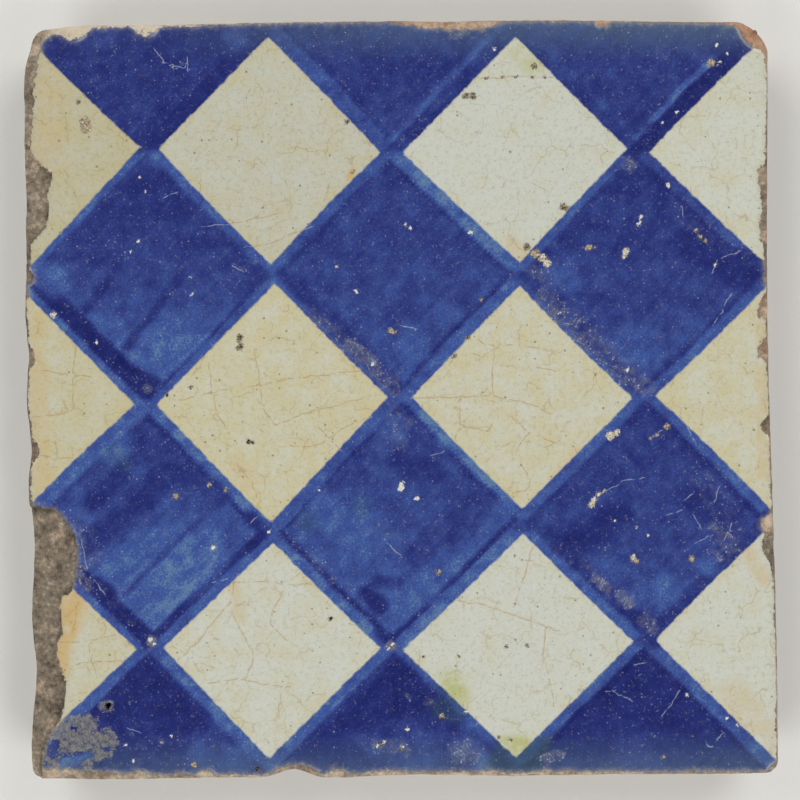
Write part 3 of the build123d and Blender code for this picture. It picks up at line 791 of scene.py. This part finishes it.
class Finish:
    """Adds nodes to one material and joins them, so that a finish reads as a list of its layers."""

    def __init__(self, name):
        self.material = bpy.data.materials.new(name)
        self.material.use_nodes = True
        self.tree = self.material.node_tree
        self.tree.nodes.clear()
        inputs = {0: self.add("ShaderNodeTexCoord").outputs["Object"], "Scale": 1 / MM}
        self.place = self.add("ShaderNodeVectorMath", inputs, operation="SCALE").outputs[0]

    def add(self, kind, inputs=None, **settings):
        """A new node with its settings made and its inputs set or joined."""
        node = self.tree.nodes.new(kind)
        for name, value in settings.items():
            setattr(node, name, value)
        for name, value in (inputs or {}).items():
            if isinstance(value, bpy.types.NodeSocket):
                self.tree.links.new(value, node.inputs[name])
            else:
                node.inputs[name].default_value = value
        return node

    def field(self, name):
        """A value kept on the mesh's points."""
        return self.add("ShaderNodeAttribute", attribute_name=name).outputs["Fac"]

    def math(self, operation, *values):
        """One step of arithmetic."""
        return self.add("ShaderNodeMath", dict(enumerate(values)), operation=operation).outputs[0]

    def sum(self, *values):
        """All values added up."""
        total = values[0]
        for value in values[1:]:
            total = self.math("ADD", total, value)
        return total

    def times(self, *values):
        """All values multiplied."""
        product = values[0]
        for value in values[1:]:
            product = self.math("MULTIPLY", product, value)
        return product

    def largest(self, value, other):
        """The larger of two values."""
        return self.math("MAXIMUM", value, other)

    def size(self, value):
        """A value without its sign."""
        return self.math("ABSOLUTE", value)

    def eased(self, value, low, high):
        """0 below low and 1 above high, or the other way round where low is the larger."""
        inputs = {"Value": value, "From Min": low, "From Max": high}
        return self.add("ShaderNodeMapRange", inputs, interpolation_type="SMOOTHSTEP").outputs[0]

    def grain(self, lump, detail, reach, place=None, roughness=0.5, flat=True):
        """Noise of a lump size in millimetres, from about minus half the reach to plus half."""
        inputs = {"Vector": place or self.place, "Scale": 1 / lump, "Detail": detail, "Roughness": roughness}
        node = self.add("ShaderNodeTexNoise", inputs, noise_dimensions="2D" if flat else "3D")
        return self.math("MULTIPLY_ADD", node.outputs["Fac"], reach, -reach / 2)

    def stretched(self, turn, along, across):
        """Places in cells that are long one way, turned about the tile's upright."""
        inputs = {"Vector": self.place, "Rotation": (0, 0, radians(turn)), "Scale": (along, across, 1)}
        return self.add("ShaderNodeMapping", inputs, vector_type="TEXTURE").outputs[0]

    def bent(self, lump, reach):
        """Places pushed about by noise of a lump size."""
        inputs = {"Vector": self.place, "Scale": 1 / lump, "Detail": 3.0}
        push = self.add("ShaderNodeTexNoise", inputs, noise_dimensions="2D").outputs["Color"]
        inputs = {0: push, 1: (reach, reach, reach), 2: self.place}
        return self.add("ShaderNodeVectorMath", inputs, operation="MULTIPLY_ADD").outputs[0]

    def specks(self, spacing, radius, rarity, place=None):
        """Soft spots of up to a radius, about one to a cell of the spacing, with the large ones rare."""
        inputs = {"Vector": place or self.place, "Scale": 1 / spacing}
        cells = self.add("ShaderNodeTexVoronoi", inputs, voronoi_dimensions="2D")
        pick = self.add("ShaderNodeSeparateColor", {0: cells.outputs["Color"]}).outputs[0]
        limit = self.times(self.math("POWER", pick, rarity), radius / spacing)
        inside = self.math("SUBTRACT", limit, cells.outputs["Distance"])
        return self.eased(inside, -0.03 / spacing, 0.07 / spacing)

    def hairlines(self, turn, along, across, width):
        """Fine curved lines that run mostly one way; the width is a share of the space between them."""
        bends = self.size(self.grain(1.0, 1.0, 1.0, self.stretched(turn, along, across)))
        return self.eased(bends, width, 0.3 * width)

    def cracks(self, spacing, width, place):
        """The lines between cells of a spacing, as fine cracks of a width."""
        inputs = {"Vector": place, "Scale": 1 / spacing}
        cells = self.add("ShaderNodeTexVoronoi", inputs, voronoi_dimensions="2D", feature="DISTANCE_TO_EDGE")
        return self.eased(cells.outputs["Distance"], width / spacing, 0.3 * width / spacing)

    def mix(self, share, under, over):
        """One colour laid over another by a share."""
        return self.add("ShaderNodeMix", {0: share, 6: under, 7: over}, data_type="RGBA").outputs[2]

    def blend(self, share, under, over):
        """One value laid over another by a share."""
        return self.add("ShaderNodeMix", {0: share, 2: under, 3: over}).outputs[0]

    def ramp(self, value, stops):
        """Colours along a value, as (value, colour) stops."""
        node = self.add("ShaderNodeValToRGB", {0: value})
        elements = node.color_ramp.elements
        while len(elements) < len(stops):
            elements.new(1.0)
        for element, (position, colour) in zip(elements, stops):
            element.position = position
            element.color = colour
        return node.outputs["Color"]

    def close(self, colour, roughness, height=None):
        """Ends the finish with its shader, and with a bump where there is a height in millimetres."""
        inputs = {"Base Color": colour, "Roughness": roughness}
        if height:
            bump = self.add("ShaderNodeBump", {"Height": height, "Distance": MM, "Strength": 1.0})
            inputs["Normal"] = bump.outputs[0]
        shader = self.add("ShaderNodeBsdfPrincipled", inputs)
        self.add("ShaderNodeOutputMaterial", {"Surface": shader.outputs[0]})
        return self.material


def colour_property(name, description, *levels):
    """A colour that the user can change, given in sRGB levels."""
    return FloatVectorProperty(
        name=name, description=description, subtype="COLOR", size=3, min=0, max=1, default=srgb(*levels)
    )


def length_property(name, description, default, least=0.0):
    """A length that the user can change, given in millimetres."""
    return FloatProperty(
        name=name, description=description, subtype="DISTANCE", unit="LENGTH",
        min=least * MM, default=default * MM,
    )


class TileColours(bpy.types.PropertyGroup):
    """Colours of the tile's glaze, paint and clay."""

    cool_white: colour_property("Cool white", "Tin glaze where it is clean", 201, 204, 193)
    warm_white: colour_property("Warm white", "Tin glaze where it is stained cream", 199, 190, 151)
    # Shade and grime: a grey that darkens whole whites as painted shade, and also random dust over the glaze
    shade_and_grime: colour_property("Grime", "Old dirt over the white glaze", 138, 131, 108)
    craze: colour_property("Crazing", "Old dirt in the glaze's fine cracks", 150, 124, 90)
    speck: colour_property("Speck", "Iron specks in the white glaze", 96, 82, 62)
    amber: colour_property("Amber stain", "Iron stain of the white glaze", 198, 170, 118)
    green: colour_property("Green stain", "Copper stain of the white glaze", 178, 180, 116)
    palest_blue: colour_property("Palest blue", "Cobalt in a thin wash", 92, 122, 161)
    light_blue: colour_property("Light blue", "Cobalt in a light outline stroke", 62, 88, 155)
    middle_blue: colour_property("Middle blue", "Cobalt in one coat", 52, 68, 134)
    dark_blue: colour_property("Dark blue", "Cobalt in two coats", 36, 46, 114)
    darkest_blue: colour_property("Darkest blue", "Cobalt where the brush left a pool", 22, 29, 92)
    teal_blue: colour_property("Teal blue", "Cobalt near the tile's upper and lower edges", 82, 104, 124)
    green_blue: colour_property("Green blue", "Copper stain of the blue glaze", 52, 76, 90)
    scuff: colour_property("Scuff", "Worn and smeared blue glaze", 112, 113, 124)
    scratch: colour_property("Scratch", "Fresh scratch of the blue glaze", 176, 186, 206)
    film: colour_property("Film", "Grey film where the paint is lost", 98, 100, 104)
    broken_glaze: colour_property("Broken glaze", "Edge of the glaze where it has come away", 172, 166, 148)
    # Also the colour of the painted highlights among the white spots
    white_chip: colour_property("White chip", "Chip that shows the white glaze", 218, 218, 212)
    cream_chip: colour_property("Cream chip", "Chip that shows the pale body", 190, 179, 152)
    tan_chip: colour_property("Tan chip", "Chip that shows the fired clay", 154, 139, 112)
    brown_chip: colour_property("Brown chip", "Dirty pit in the glaze", 118, 102, 82)
    black_chip: colour_property("Black chip", "Hole in the glaze", 24, 20, 20)
    # Dark dirt of the clay, and also the painted shade under the glaze's broken edges and round the darker
    # chips
    clay_dirt: colour_property("Clay dirt", "Dirt in the hollows of the bare clay", 76, 64, 53)
    clay: colour_property("Clay", "The fired body where it is dirty", 132, 120, 103)
    pale_clay: colour_property("Pale clay", "The fired body where it broke clean", 206, 193, 171)
    red_clay: colour_property("Red clay", "Redder parts of the fired body", 182, 130, 98)


class TileSizes(bpy.types.PropertyGroup):
    """Sizes of the tile's wear and of the marks in its glaze."""

    rim_chatter: length_property("Rim chatter", "How unevenly the glaze is worn along the rim", 0.18)
    craze_spacing: length_property("Craze spacing", "Distance between the glaze's faint cracks", 5.5, 1.0)
    chip_depth: length_property("Chip depth", "Depth of the chips and pits in the glaze", 0.16)


class StageSettings(bpy.types.PropertyGroup):
    """The studio: floor, surround, lamps and camera."""

    floor_colour: colour_property("Floor", "The pale studio floor and backdrop", 232, 231, 228)
    surround_light: FloatProperty(
        name="Surround light", description="Strength of the light from all round", min=0, default=0.06
    )
    lamp_power: FloatProperty(
        name="Lamp power", description="Power of each of the four lamps", unit="POWER", min=0, default=2.5
    )
    lamp_size: length_property("Lamp size", "Length of each side of a lamp", 500.0)
    lamp_distance: length_property("Lamp distance", "Distance of the lamps from the tile", 900.0)
    field_width: length_property("Field width", "Width of the picture at the tile's face", 138.31, 10.0)
    lens: FloatProperty(
        name="Lens", description="Focal length of the camera", unit="CAMERA", min=10, default=100
    )
    camera_turn: FloatProperty(
        name="Camera turn", description="Turn of the camera about its own axis",
        subtype="ANGLE", unit="ROTATION", default=radians(-0.62),
    )


def hollow_depth(form):
    """How far the solid lies below the face near each point of the face, evened over a short reach."""
    reach = 0.18
    past_edge = THICKNESS - 1  # height that stands for places past the solid's edge
    steps = ((0, 0), (reach, 0), (-reach, 0), (0, reach), (0, -reach))
    samples = [[form.probe.height(x + dx, y + dy) for x, y in form.plan] for dx, dy in steps]
    samples = np.where(np.isnan(samples), past_edge, samples)
    return THICKNESS - np.mean(samples, axis=0)


def wear_fields(form, chatter):
    """How far each face point lies inside a patch with no glaze, then the rim's wear, paleness and redness.

    The last three come for each point of the face, and again for each point of the ring.
    """
    broken = 0.16  # the glaze is lost where the solid lies deeper than this
    hole_reach = 1.0
    steepness = 0.8  # how fast the value falls for each millimetre away from such a place
    depth = hollow_depth(form)
    # The nail holes are among these spots, and the glaze round them is whole
    for x, y, radius in SPOTS["black"] + SPOTS["tan"]:
        depth[np.hypot(form.plan[:, 0] - x, form.plan[:, 1] - y) < hole_reach] = 0.0
    lost = plan_tree(form.plan[depth > broken])
    apart = np.array([lost.find((x, y, 0))[2] for x, y in form.plan])
    inside = np.where(depth > broken, depth - broken, -steepness * apart)
    ring = np.column_stack([form.rim_values(column) for column in (1, 2, 3)])
    ring[:, 0] += chatter * layered(form.ring, WEAR_CHATTER)
    rim = plan_tree(form.ring)
    nearest = [rim.find((x, y, 0)) for x, y in form.plan]
    here = ring[[found[1] for found in nearest]]
    inside = np.maximum(inside, here[:, 0] - [found[2] for found in nearest])
    return inside, here, ring


def white_glaze(finish, rgba, spacing, white, lines):
    """Tin glaze with its clouds, random grime, painted shade, specks, crazing and stains."""
    rim = finish.eased(white, 2.6, 0.2)
    clouds = finish.grain(4.5, 3.0, 1.9, roughness=0.75)
    warmth = finish.sum(finish.field("warm"), finish.times(rim, 0.22), clouds)
    colour = finish.mix(finish.eased(warmth, -0.3, 1.3), rgba["cool_white"], rgba["warm_white"])
    # Painted shade greys each white by its share, and random dust adds grime on top
    dust = finish.eased(finish.grain(0.9, 3.0, 1.2, roughness=1.0), 0.0, 0.25)
    colour = finish.mix(finish.sum(finish.field("shade_and_grime"), finish.times(dust, 0.3)), colour, rgba["shade_and_grime"])
    stain = finish.times(finish.field("amber"), finish.eased(clouds, -0.8, 0.1))
    colour = finish.mix(stain, colour, rgba["amber"])
    stain = finish.times(finish.field("green"), finish.eased(clouds, -0.6, 0.2))
    colour = finish.mix(stain, colour, rgba["green"])
    cracks = finish.cracks(spacing, 0.16, finish.bent(4.0, 4.0))
    faint = finish.times(cracks, finish.eased(clouds, -0.2, 0.25), 0.34)
    line, halo = lines
    colour = finish.mix(finish.times(halo, 0.22), colour, rgba["amber"])
    colour = finish.mix(finish.largest(faint, finish.times(line, 0.48)), colour, rgba["craze"])
    return finish.mix(finish.times(finish.specks(1.3, 0.24, 11.0), 0.6), colour, rgba["speck"])


def blue_paint(finish, rgba, lines):
    """Cobalt brushwork with its pools, thin places, scuffs and scratches."""
    streaks = finish.grain(1.0, 2.0, 0.34, finish.stretched(45, 9.0, 1.0))
    mottle = finish.sum(finish.grain(2.6, 3.0, 0.75), finish.grain(0.4, 1.0, 0.6))
    strength = finish.sum(finish.field("paint"), streaks, mottle)
    colour = finish.ramp(
        finish.times(strength, 0.5),
        [(0.2, rgba["palest_blue"]), (0.34, rgba["light_blue"]), (0.5, rgba["middle_blue"]),
         (0.69, rgba["dark_blue"]), (0.95, rgba["darkest_blue"])],
    )
    teal = finish.times(finish.field("teal"), finish.sum(finish.times(streaks, 2.0), 0.7))
    colour = finish.mix(teal, colour, rgba["teal_blue"])
    colour = finish.mix(finish.times(finish.field("green"), 0.7), colour, rgba["green_blue"])
    scuffed = finish.sum(finish.field("scuff"), finish.grain(1.6, 5.0, 2.0, roughness=0.9))
    colour = finish.mix(finish.times(finish.eased(scuffed, 0.1, 1.0), 0.75), colour, rgba["scuff"])
    dashes = [finish.specks(0.4, 0.075, 7.0, finish.stretched(turn, 6.0, 1.0)) for turn in (25, -60)]
    sparkle = finish.largest(finish.specks(0.55, 0.17, 6.0), finish.largest(*dashes))
    sparkle = finish.times(sparkle, finish.eased(scuffed, -0.2, 0.45))
    hair = finish.largest(finish.hairlines(-38, 5.0, 1.2, 0.018), finish.hairlines(63, 5.0, 1.2, 0.018))
    hair = finish.times(hair, finish.eased(scuffed, 0.2, 0.7))
    marks = finish.largest(finish.times(sparkle, 0.65), finish.times(hair, 0.38))
    marks = finish.largest(marks, finish.times(lines[0], 0.5))
    colour = finish.mix(marks, colour, rgba["scratch"])
    flakes = finish.grain(0.9, 3.0, 2.6, roughness=0.9)
    film = finish.sum(finish.field("film"), flakes)
    tint = finish.eased(flakes, -0.4, 0.6)
    tint = finish.mix(finish.times(tint, 0.55), rgba["film"], rgba["broken_glaze"])
    return finish.mix(finish.times(finish.eased(film, 0.3, 0.9), 0.86), colour, tint)


def chips_over(finish, rgba, colour):
    """Chips and pits over the glaze's colour, each gritty inside, and the dark ones ringed with dirt and
    painted shade.
    """
    chip = finish.sum(finish.field("chip"), finish.grain(0.5, 3.0, 1.25, roughness=0.75))
    grit = finish.sum(finish.field("chip_tone"), finish.grain(0.35, 1.0, 1.2), -0.04)
    shade = finish.ramp(grit, [(place, rgba[f"{name}_chip"]) for name, place in SPOT_TONES.items()])
    colour = finish.mix(finish.times(finish.eased(chip, -0.25, 0.0), 0.3), colour, rgba["scuff"])
    colour = finish.mix(finish.eased(chip, -0.03, 0.1), colour, shade)
    # A dark ring of dirt and painted shade round the edge of the darker chips and pits
    edge_dirt_and_shade = finish.eased(finish.field("chip_tone"), 0.1, 0.6)
    ring = finish.times(finish.eased(finish.size(chip), 0.12, 0.02), edge_dirt_and_shade, 0.5)
    return finish.mix(ring, colour, rgba["clay_dirt"])


def bare_clay(finish, rgba, loss):
    """The fired body: sandy, calmer away from the face, darker at its edge with dirt and painted shade under
    the glaze's broken step, paler or redder in places.
    """
    sand = finish.grain(0.8, 3.0, 1.9, roughness=0.9, flat=False)
    drifts = finish.grain(3.2, 2.0, 1.9, flat=False)
    calm = finish.blend(finish.eased(finish.field("bare"), 1.0, 3.0), 1.0, 0.5)
    mottling = finish.times(finish.sum(sand, drifts), calm)
    tone = finish.sum(finish.times(finish.field("pale"), 0.5), mottling)
    colour = finish.ramp(
        finish.sum(finish.times(tone, 0.5), 0.36),
        [(0.1, rgba["clay_dirt"]), (0.42, rgba["clay"]), (0.8, rgba["pale_clay"])],
    )
    rust = finish.eased(drifts, 0.08, 0.45)
    redness = finish.largest(finish.field("red"), finish.times(rust, 0.4))
    colour = finish.mix(finish.times(redness, 0.65), colour, rgba["red_clay"])
    # Dirt and painted shade: a dark band just inside the glaze's broken edge, where the step shades the
    # clay, weaker where the clay is pale
    less_pale = finish.eased(finish.field("pale"), 1.8, 0.6)
    edge_dirt_and_shade = finish.times(finish.eased(loss, 0.3, 0.02), less_pale, 0.45)
    return finish.mix(edge_dirt_and_shade, colour, rgba["clay_dirt"])


def glaze_finish(colours, sizes):
    """The tile's whole finish: tin glaze, cobalt brushwork, stains, scuffs and bare clay."""
    rgba = {name: (*getattr(colours, name), 1.0) for name in colours.__annotations__}
    finish = Finish("glazed_earthenware")
    across = finish.size(finish.sum(finish.field("line"), finish.grain(2.0, 3.0, 0.9, roughness=0.6)))
    run = finish.eased(finish.sum(finish.field("line_run"), finish.grain(1.6, 1.0, 1.2)), 0.1, 0.45)
    lines = (
        finish.times(finish.eased(across, 0.13, 0.03), run),
        finish.times(finish.eased(across, 0.5, 0.0), run),
    )
    wobble = finish.grain(1.6, 3.0, 0.6, roughness=0.7)
    white = finish.sum(finish.field("white"), wobble)
    glazes = (
        blue_paint(finish, rgba, lines),
        white_glaze(finish, rgba, sizes.craze_spacing / MM, white, lines),
    )
    colour = finish.mix(finish.eased(white, -0.24, 0.2), *glazes)
    colour = chips_over(finish, rgba, colour)
    loss = finish.sum(finish.field("bare"), finish.grain(1.2, 4.0, 1.7, roughness=0.75))
    bare = finish.eased(loss, -0.03, 0.07)
    fringe = finish.times(finish.eased(loss, -1.1, -0.1), 0.16)
    fringe = finish.sum(fringe, finish.times(finish.eased(loss, -0.45, -0.03), 0.22))
    colour = finish.mix(fringe, colour, rgba["broken_glaze"])
    colour = finish.mix(bare, colour, bare_clay(finish, rgba, loss))
    roughness = finish.blend(bare, finish.sum(0.22, finish.times(wobble, 0.15)), 0.9)
    glaze_height = finish.grain(2.2, 1.0, 0.03)
    clay_height = finish.grain(0.9, 2.0, 0.4, roughness=0.7, flat=False)
    broken = finish.eased(finish.field("bare"), -0.1, 0.15)
    return finish.close(colour, roughness, finish.blend(broken, glaze_height, clay_height))


def tile_fields(form, wear):
    """Values that the finish reads, at every point of the mesh."""
    inside, here, ring = wear
    plan = np.concatenate([form.plan, form.side_points[:, :2], form.back_points[:, :2]])
    sides = white_sides()
    # The third value is each white's share of painted shade
    white, warmth, shade_and_grime = white_fields(plan, sides)
    chip, chip_tone = spot_fields(plan)
    line, line_run = line_fields(plan)
    paint = paint_field(plan, sides)
    film = patch_field(plan, FILMS)
    for start, end, half_width, tone in FLECKS:
        share = 1 - eased(segment_distance(plan, start, end), 0.6 * half_width, 1.2 * half_width)
        paint += share * (tone - paint)
        film *= 1 - share
    # The sides are bare, more deeply so away from the brim and where the rim is worn, and so is the back
    below_brim = np.tile(form.brim_heights, SIDE_ROWS) - form.side_points[:, 2]
    side_wear, side_pale, side_red = np.tile(ring, (SIDE_ROWS, 1)).T
    side_bare = SIDE_BARE + below_brim + WEAR_BARE * side_wear
    back = np.zeros(len(form.back_points))
    return {
        "white": white,
        "warm": warmth,
        "shade_and_grime": shade_and_grime,
        "paint": paint,
        "teal": teal_field(plan),
        "film": film,
        "scuff": patch_field(plan, SCUFFS),
        "amber": patch_field(plan, AMBER_STAINS),
        "green": patch_field(plan, GREEN_STAINS),
        "chip": chip,
        "chip_tone": chip_tone,
        "line": line,
        "line_run": line_run,
        "bare": np.concatenate([inside, side_bare, back + BACK_BARE]),
        "pale": np.concatenate([here[:, 1], SIDE_SHARE * side_pale, back]),
        "red": np.concatenate([here[:, 2], SIDE_SHARE * side_red, back]),
    }


def face_heights(form, fields, chip_depth):
    """Heights of the face's points: uneven where the clay is bare, and lower in the chips."""
    face = slice(len(form.plan))
    rough = eased(fields["bare"][face], 0.0, 0.15) * layered(form.plan, BROKEN_CLAY)
    pits = chip_depth * eased(fields["chip"][face], -0.1, 0.3)
    heights = form.heights + layered(form.plan, GLAZE_WAVES) + rough - pits
    heights[form.ring_ids] = form.brim_heights
    return heights


def tile_mesh(form, heights, fields):
    """The tile's mesh with its texture places and the values that the finish reads."""
    points = np.concatenate([np.column_stack([form.plan, heights]), form.side_points, form.back_points])
    mesh = bpy.data.meshes.new("painted_tile")
    mesh.from_pydata((points * MM).tolist(), [], form.faces)
    for name, values in fields.items():
        mesh.attributes.new(name, "FLOAT", "POINT").data.foreach_set("value", values.astype(np.float32))
    texture = mesh.uv_layers.new(name="OFBake")
    texture.uv.foreach_set("vector", np.concatenate(form.texture).astype(np.float32).ravel())
    mesh.shade_smooth()
    mesh.set_sharp_from_angle(angle=radians(SHARP_ANGLE))
    return mesh


class TILE_OT_glazed_tile(bpy.types.Operator):
    """Builds the glazed, painted and worn tile over its CAD solid"""

    bl_idname = "tile.glazed_tile"
    bl_label = "Glazed tile"

    def execute(self, context):
        sizes = context.scene.tile_sizes
        form = TileForm(SolidProbe(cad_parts["tile"]))
        fields = tile_fields(form, wear_fields(form, sizes.rim_chatter / MM))
        mesh = tile_mesh(form, face_heights(form, fields, sizes.chip_depth / MM), fields)
        mesh.materials.append(glaze_finish(context.scene.tile_colours, sizes))
        piece = bpy.data.objects.new("painted_tile", mesh)
        context.collection.objects.link(piece)
        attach(piece, "root")
        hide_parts("tile")
        return {"FINISHED"}


class TILE_OT_studio(bpy.types.Operator):
    """Sets up the pale floor and backdrop, the soft lamps and the camera above the tile"""

    bl_idname = "tile.studio"
    bl_label = "Studio"

    def execute(self, context):
        stage = context.scene.tile_stage
        self.floor(context, stage)
        self.world(context, stage)
        self.lamps(context, stage)
        self.camera(context, stage)
        context.scene.view_settings.view_transform = "Standard"
        return {"FINISHED"}

    def floor(self, context, stage):
        """A pale floor under the tile that curves up into a round backdrop."""
        turns = np.linspace(0, np.pi / 2, FLOOR_BEND_STEPS)
        edge = FLOOR_FLAT + FLOOR_BEND
        radii = np.concatenate([[FLOOR_MIDDLE], FLOOR_FLAT + FLOOR_BEND * np.sin(turns), [edge]])
        heights = np.concatenate([[0.0], FLOOR_BEND * (1 - np.cos(turns)), [FLOOR_BEND + BACKDROP_RISE]])
        angles = np.arange(FLOOR_SPOKES) * 2 * np.pi / FLOOR_SPOKES
        points = [(r * np.cos(a), r * np.sin(a), h) for r, h in zip(radii, heights) for a in angles]
        ids = np.arange(len(points)).reshape(len(radii), FLOOR_SPOKES)
        quads = grid_quads(np.column_stack([ids, ids[:, 0]]))
        mesh = bpy.data.meshes.new("studio_floor")
        mesh.from_pydata(points, [], [ids[0].tolist()] + quads.tolist())
        mesh.shade_smooth()
        floor = bpy.data.objects.new("studio_floor", mesh)
        floor.location.z = -FLOOR_GAP
        context.collection.objects.link(floor)
        mesh.materials.append(Finish("studio_floor").close((*stage.floor_colour, 1.0), FLOOR_ROUGHNESS))

    def world(self, context, stage):
        """An even, pale surround that also gives a little light of its own."""
        world = bpy.data.worlds.new("studio")
        world.use_nodes = True
        background = world.node_tree.nodes["Background"]
        background.inputs["Color"].default_value = (*stage.floor_colour, 1.0)
        background.inputs["Strength"].default_value = stage.surround_light
        context.scene.world = world

    def lamps(self, context, stage):
        """Four large soft lamps, one to each corner of the tile and well off the camera's line."""
        for number, turn in enumerate((45, 135, 225, 315)):
            lamp = bpy.data.lights.new(f"soft_lamp_{number}", "AREA")
            lamp.shape = "SQUARE"
            lamp.size = stage.lamp_size
            lamp.energy = stage.lamp_power
            holder = bpy.data.objects.new(lamp.name, lamp)
            outward = Vector((np.cos(radians(turn)), np.sin(radians(turn)), 1.0)).normalized()
            holder.location = outward * stage.lamp_distance
            holder.rotation_euler = outward.to_track_quat("Z", "Y").to_euler()
            context.collection.objects.link(holder)

    def camera(self, context, stage):
        """The camera straight above the face, turned as the photograph is."""
        camera = bpy.data.cameras.new("camera")
        camera.lens = stage.lens
        camera.sensor_width = SENSOR_WIDTH
        above = stage.field_width * camera.lens / camera.sensor_width
        holder = bpy.data.objects.new("camera", camera)
        holder.location = (CAMERA_X * MM, CAMERA_Y * MM, THICKNESS * MM + above)
        holder.rotation_euler = (0, 0, stage.camera_turn)
        context.collection.objects.link(holder)
        context.scene.camera = holder


class TILE_PT_panel(bpy.types.Panel):
    """Lists the tile's pieces with their sizes and colours"""

    bl_idname = "TILE_PT_panel"
    bl_label = "Painted wall tile"
    bl_space_type = "VIEW_3D"
    bl_region_type = "UI"
    bl_category = "Tile"

    def draw(self, context):
        scene = context.scene
        for groups, operator in (
            ((scene.tile_sizes, scene.tile_colours), TILE_OT_glazed_tile),
            ((scene.tile_stage,), TILE_OT_studio),
        ):
            for settings in groups:
                for name in settings.__annotations__:
                    self.layout.prop(settings, name)
            self.layout.operator(operator.bl_idname)


CLASSES = (TileColours, TileSizes, StageSettings, TILE_OT_glazed_tile, TILE_OT_studio, TILE_PT_panel)


def register():
    """Adds the classes and hangs the settings on the scene."""
    for each in CLASSES:
        bpy.utils.register_class(each)
    bpy.types.Scene.tile_colours = PointerProperty(type=TileColours)
    bpy.types.Scene.tile_sizes = PointerProperty(type=TileSizes)
    bpy.types.Scene.tile_stage = PointerProperty(type=StageSettings)


def unregister():
    """Takes the settings and the classes away again."""
    del bpy.types.Scene.tile_stage
    del bpy.types.Scene.tile_sizes
    del bpy.types.Scene.tile_colours
    for each in reversed(CLASSES):
        bpy.utils.unregister_class(each)


def main():
    """Builds the tile and its studio."""
    register()
    bpy.ops.tile.glazed_tile()
    bpy.ops.tile.studio()


if __name__ == "__main__":
    main()
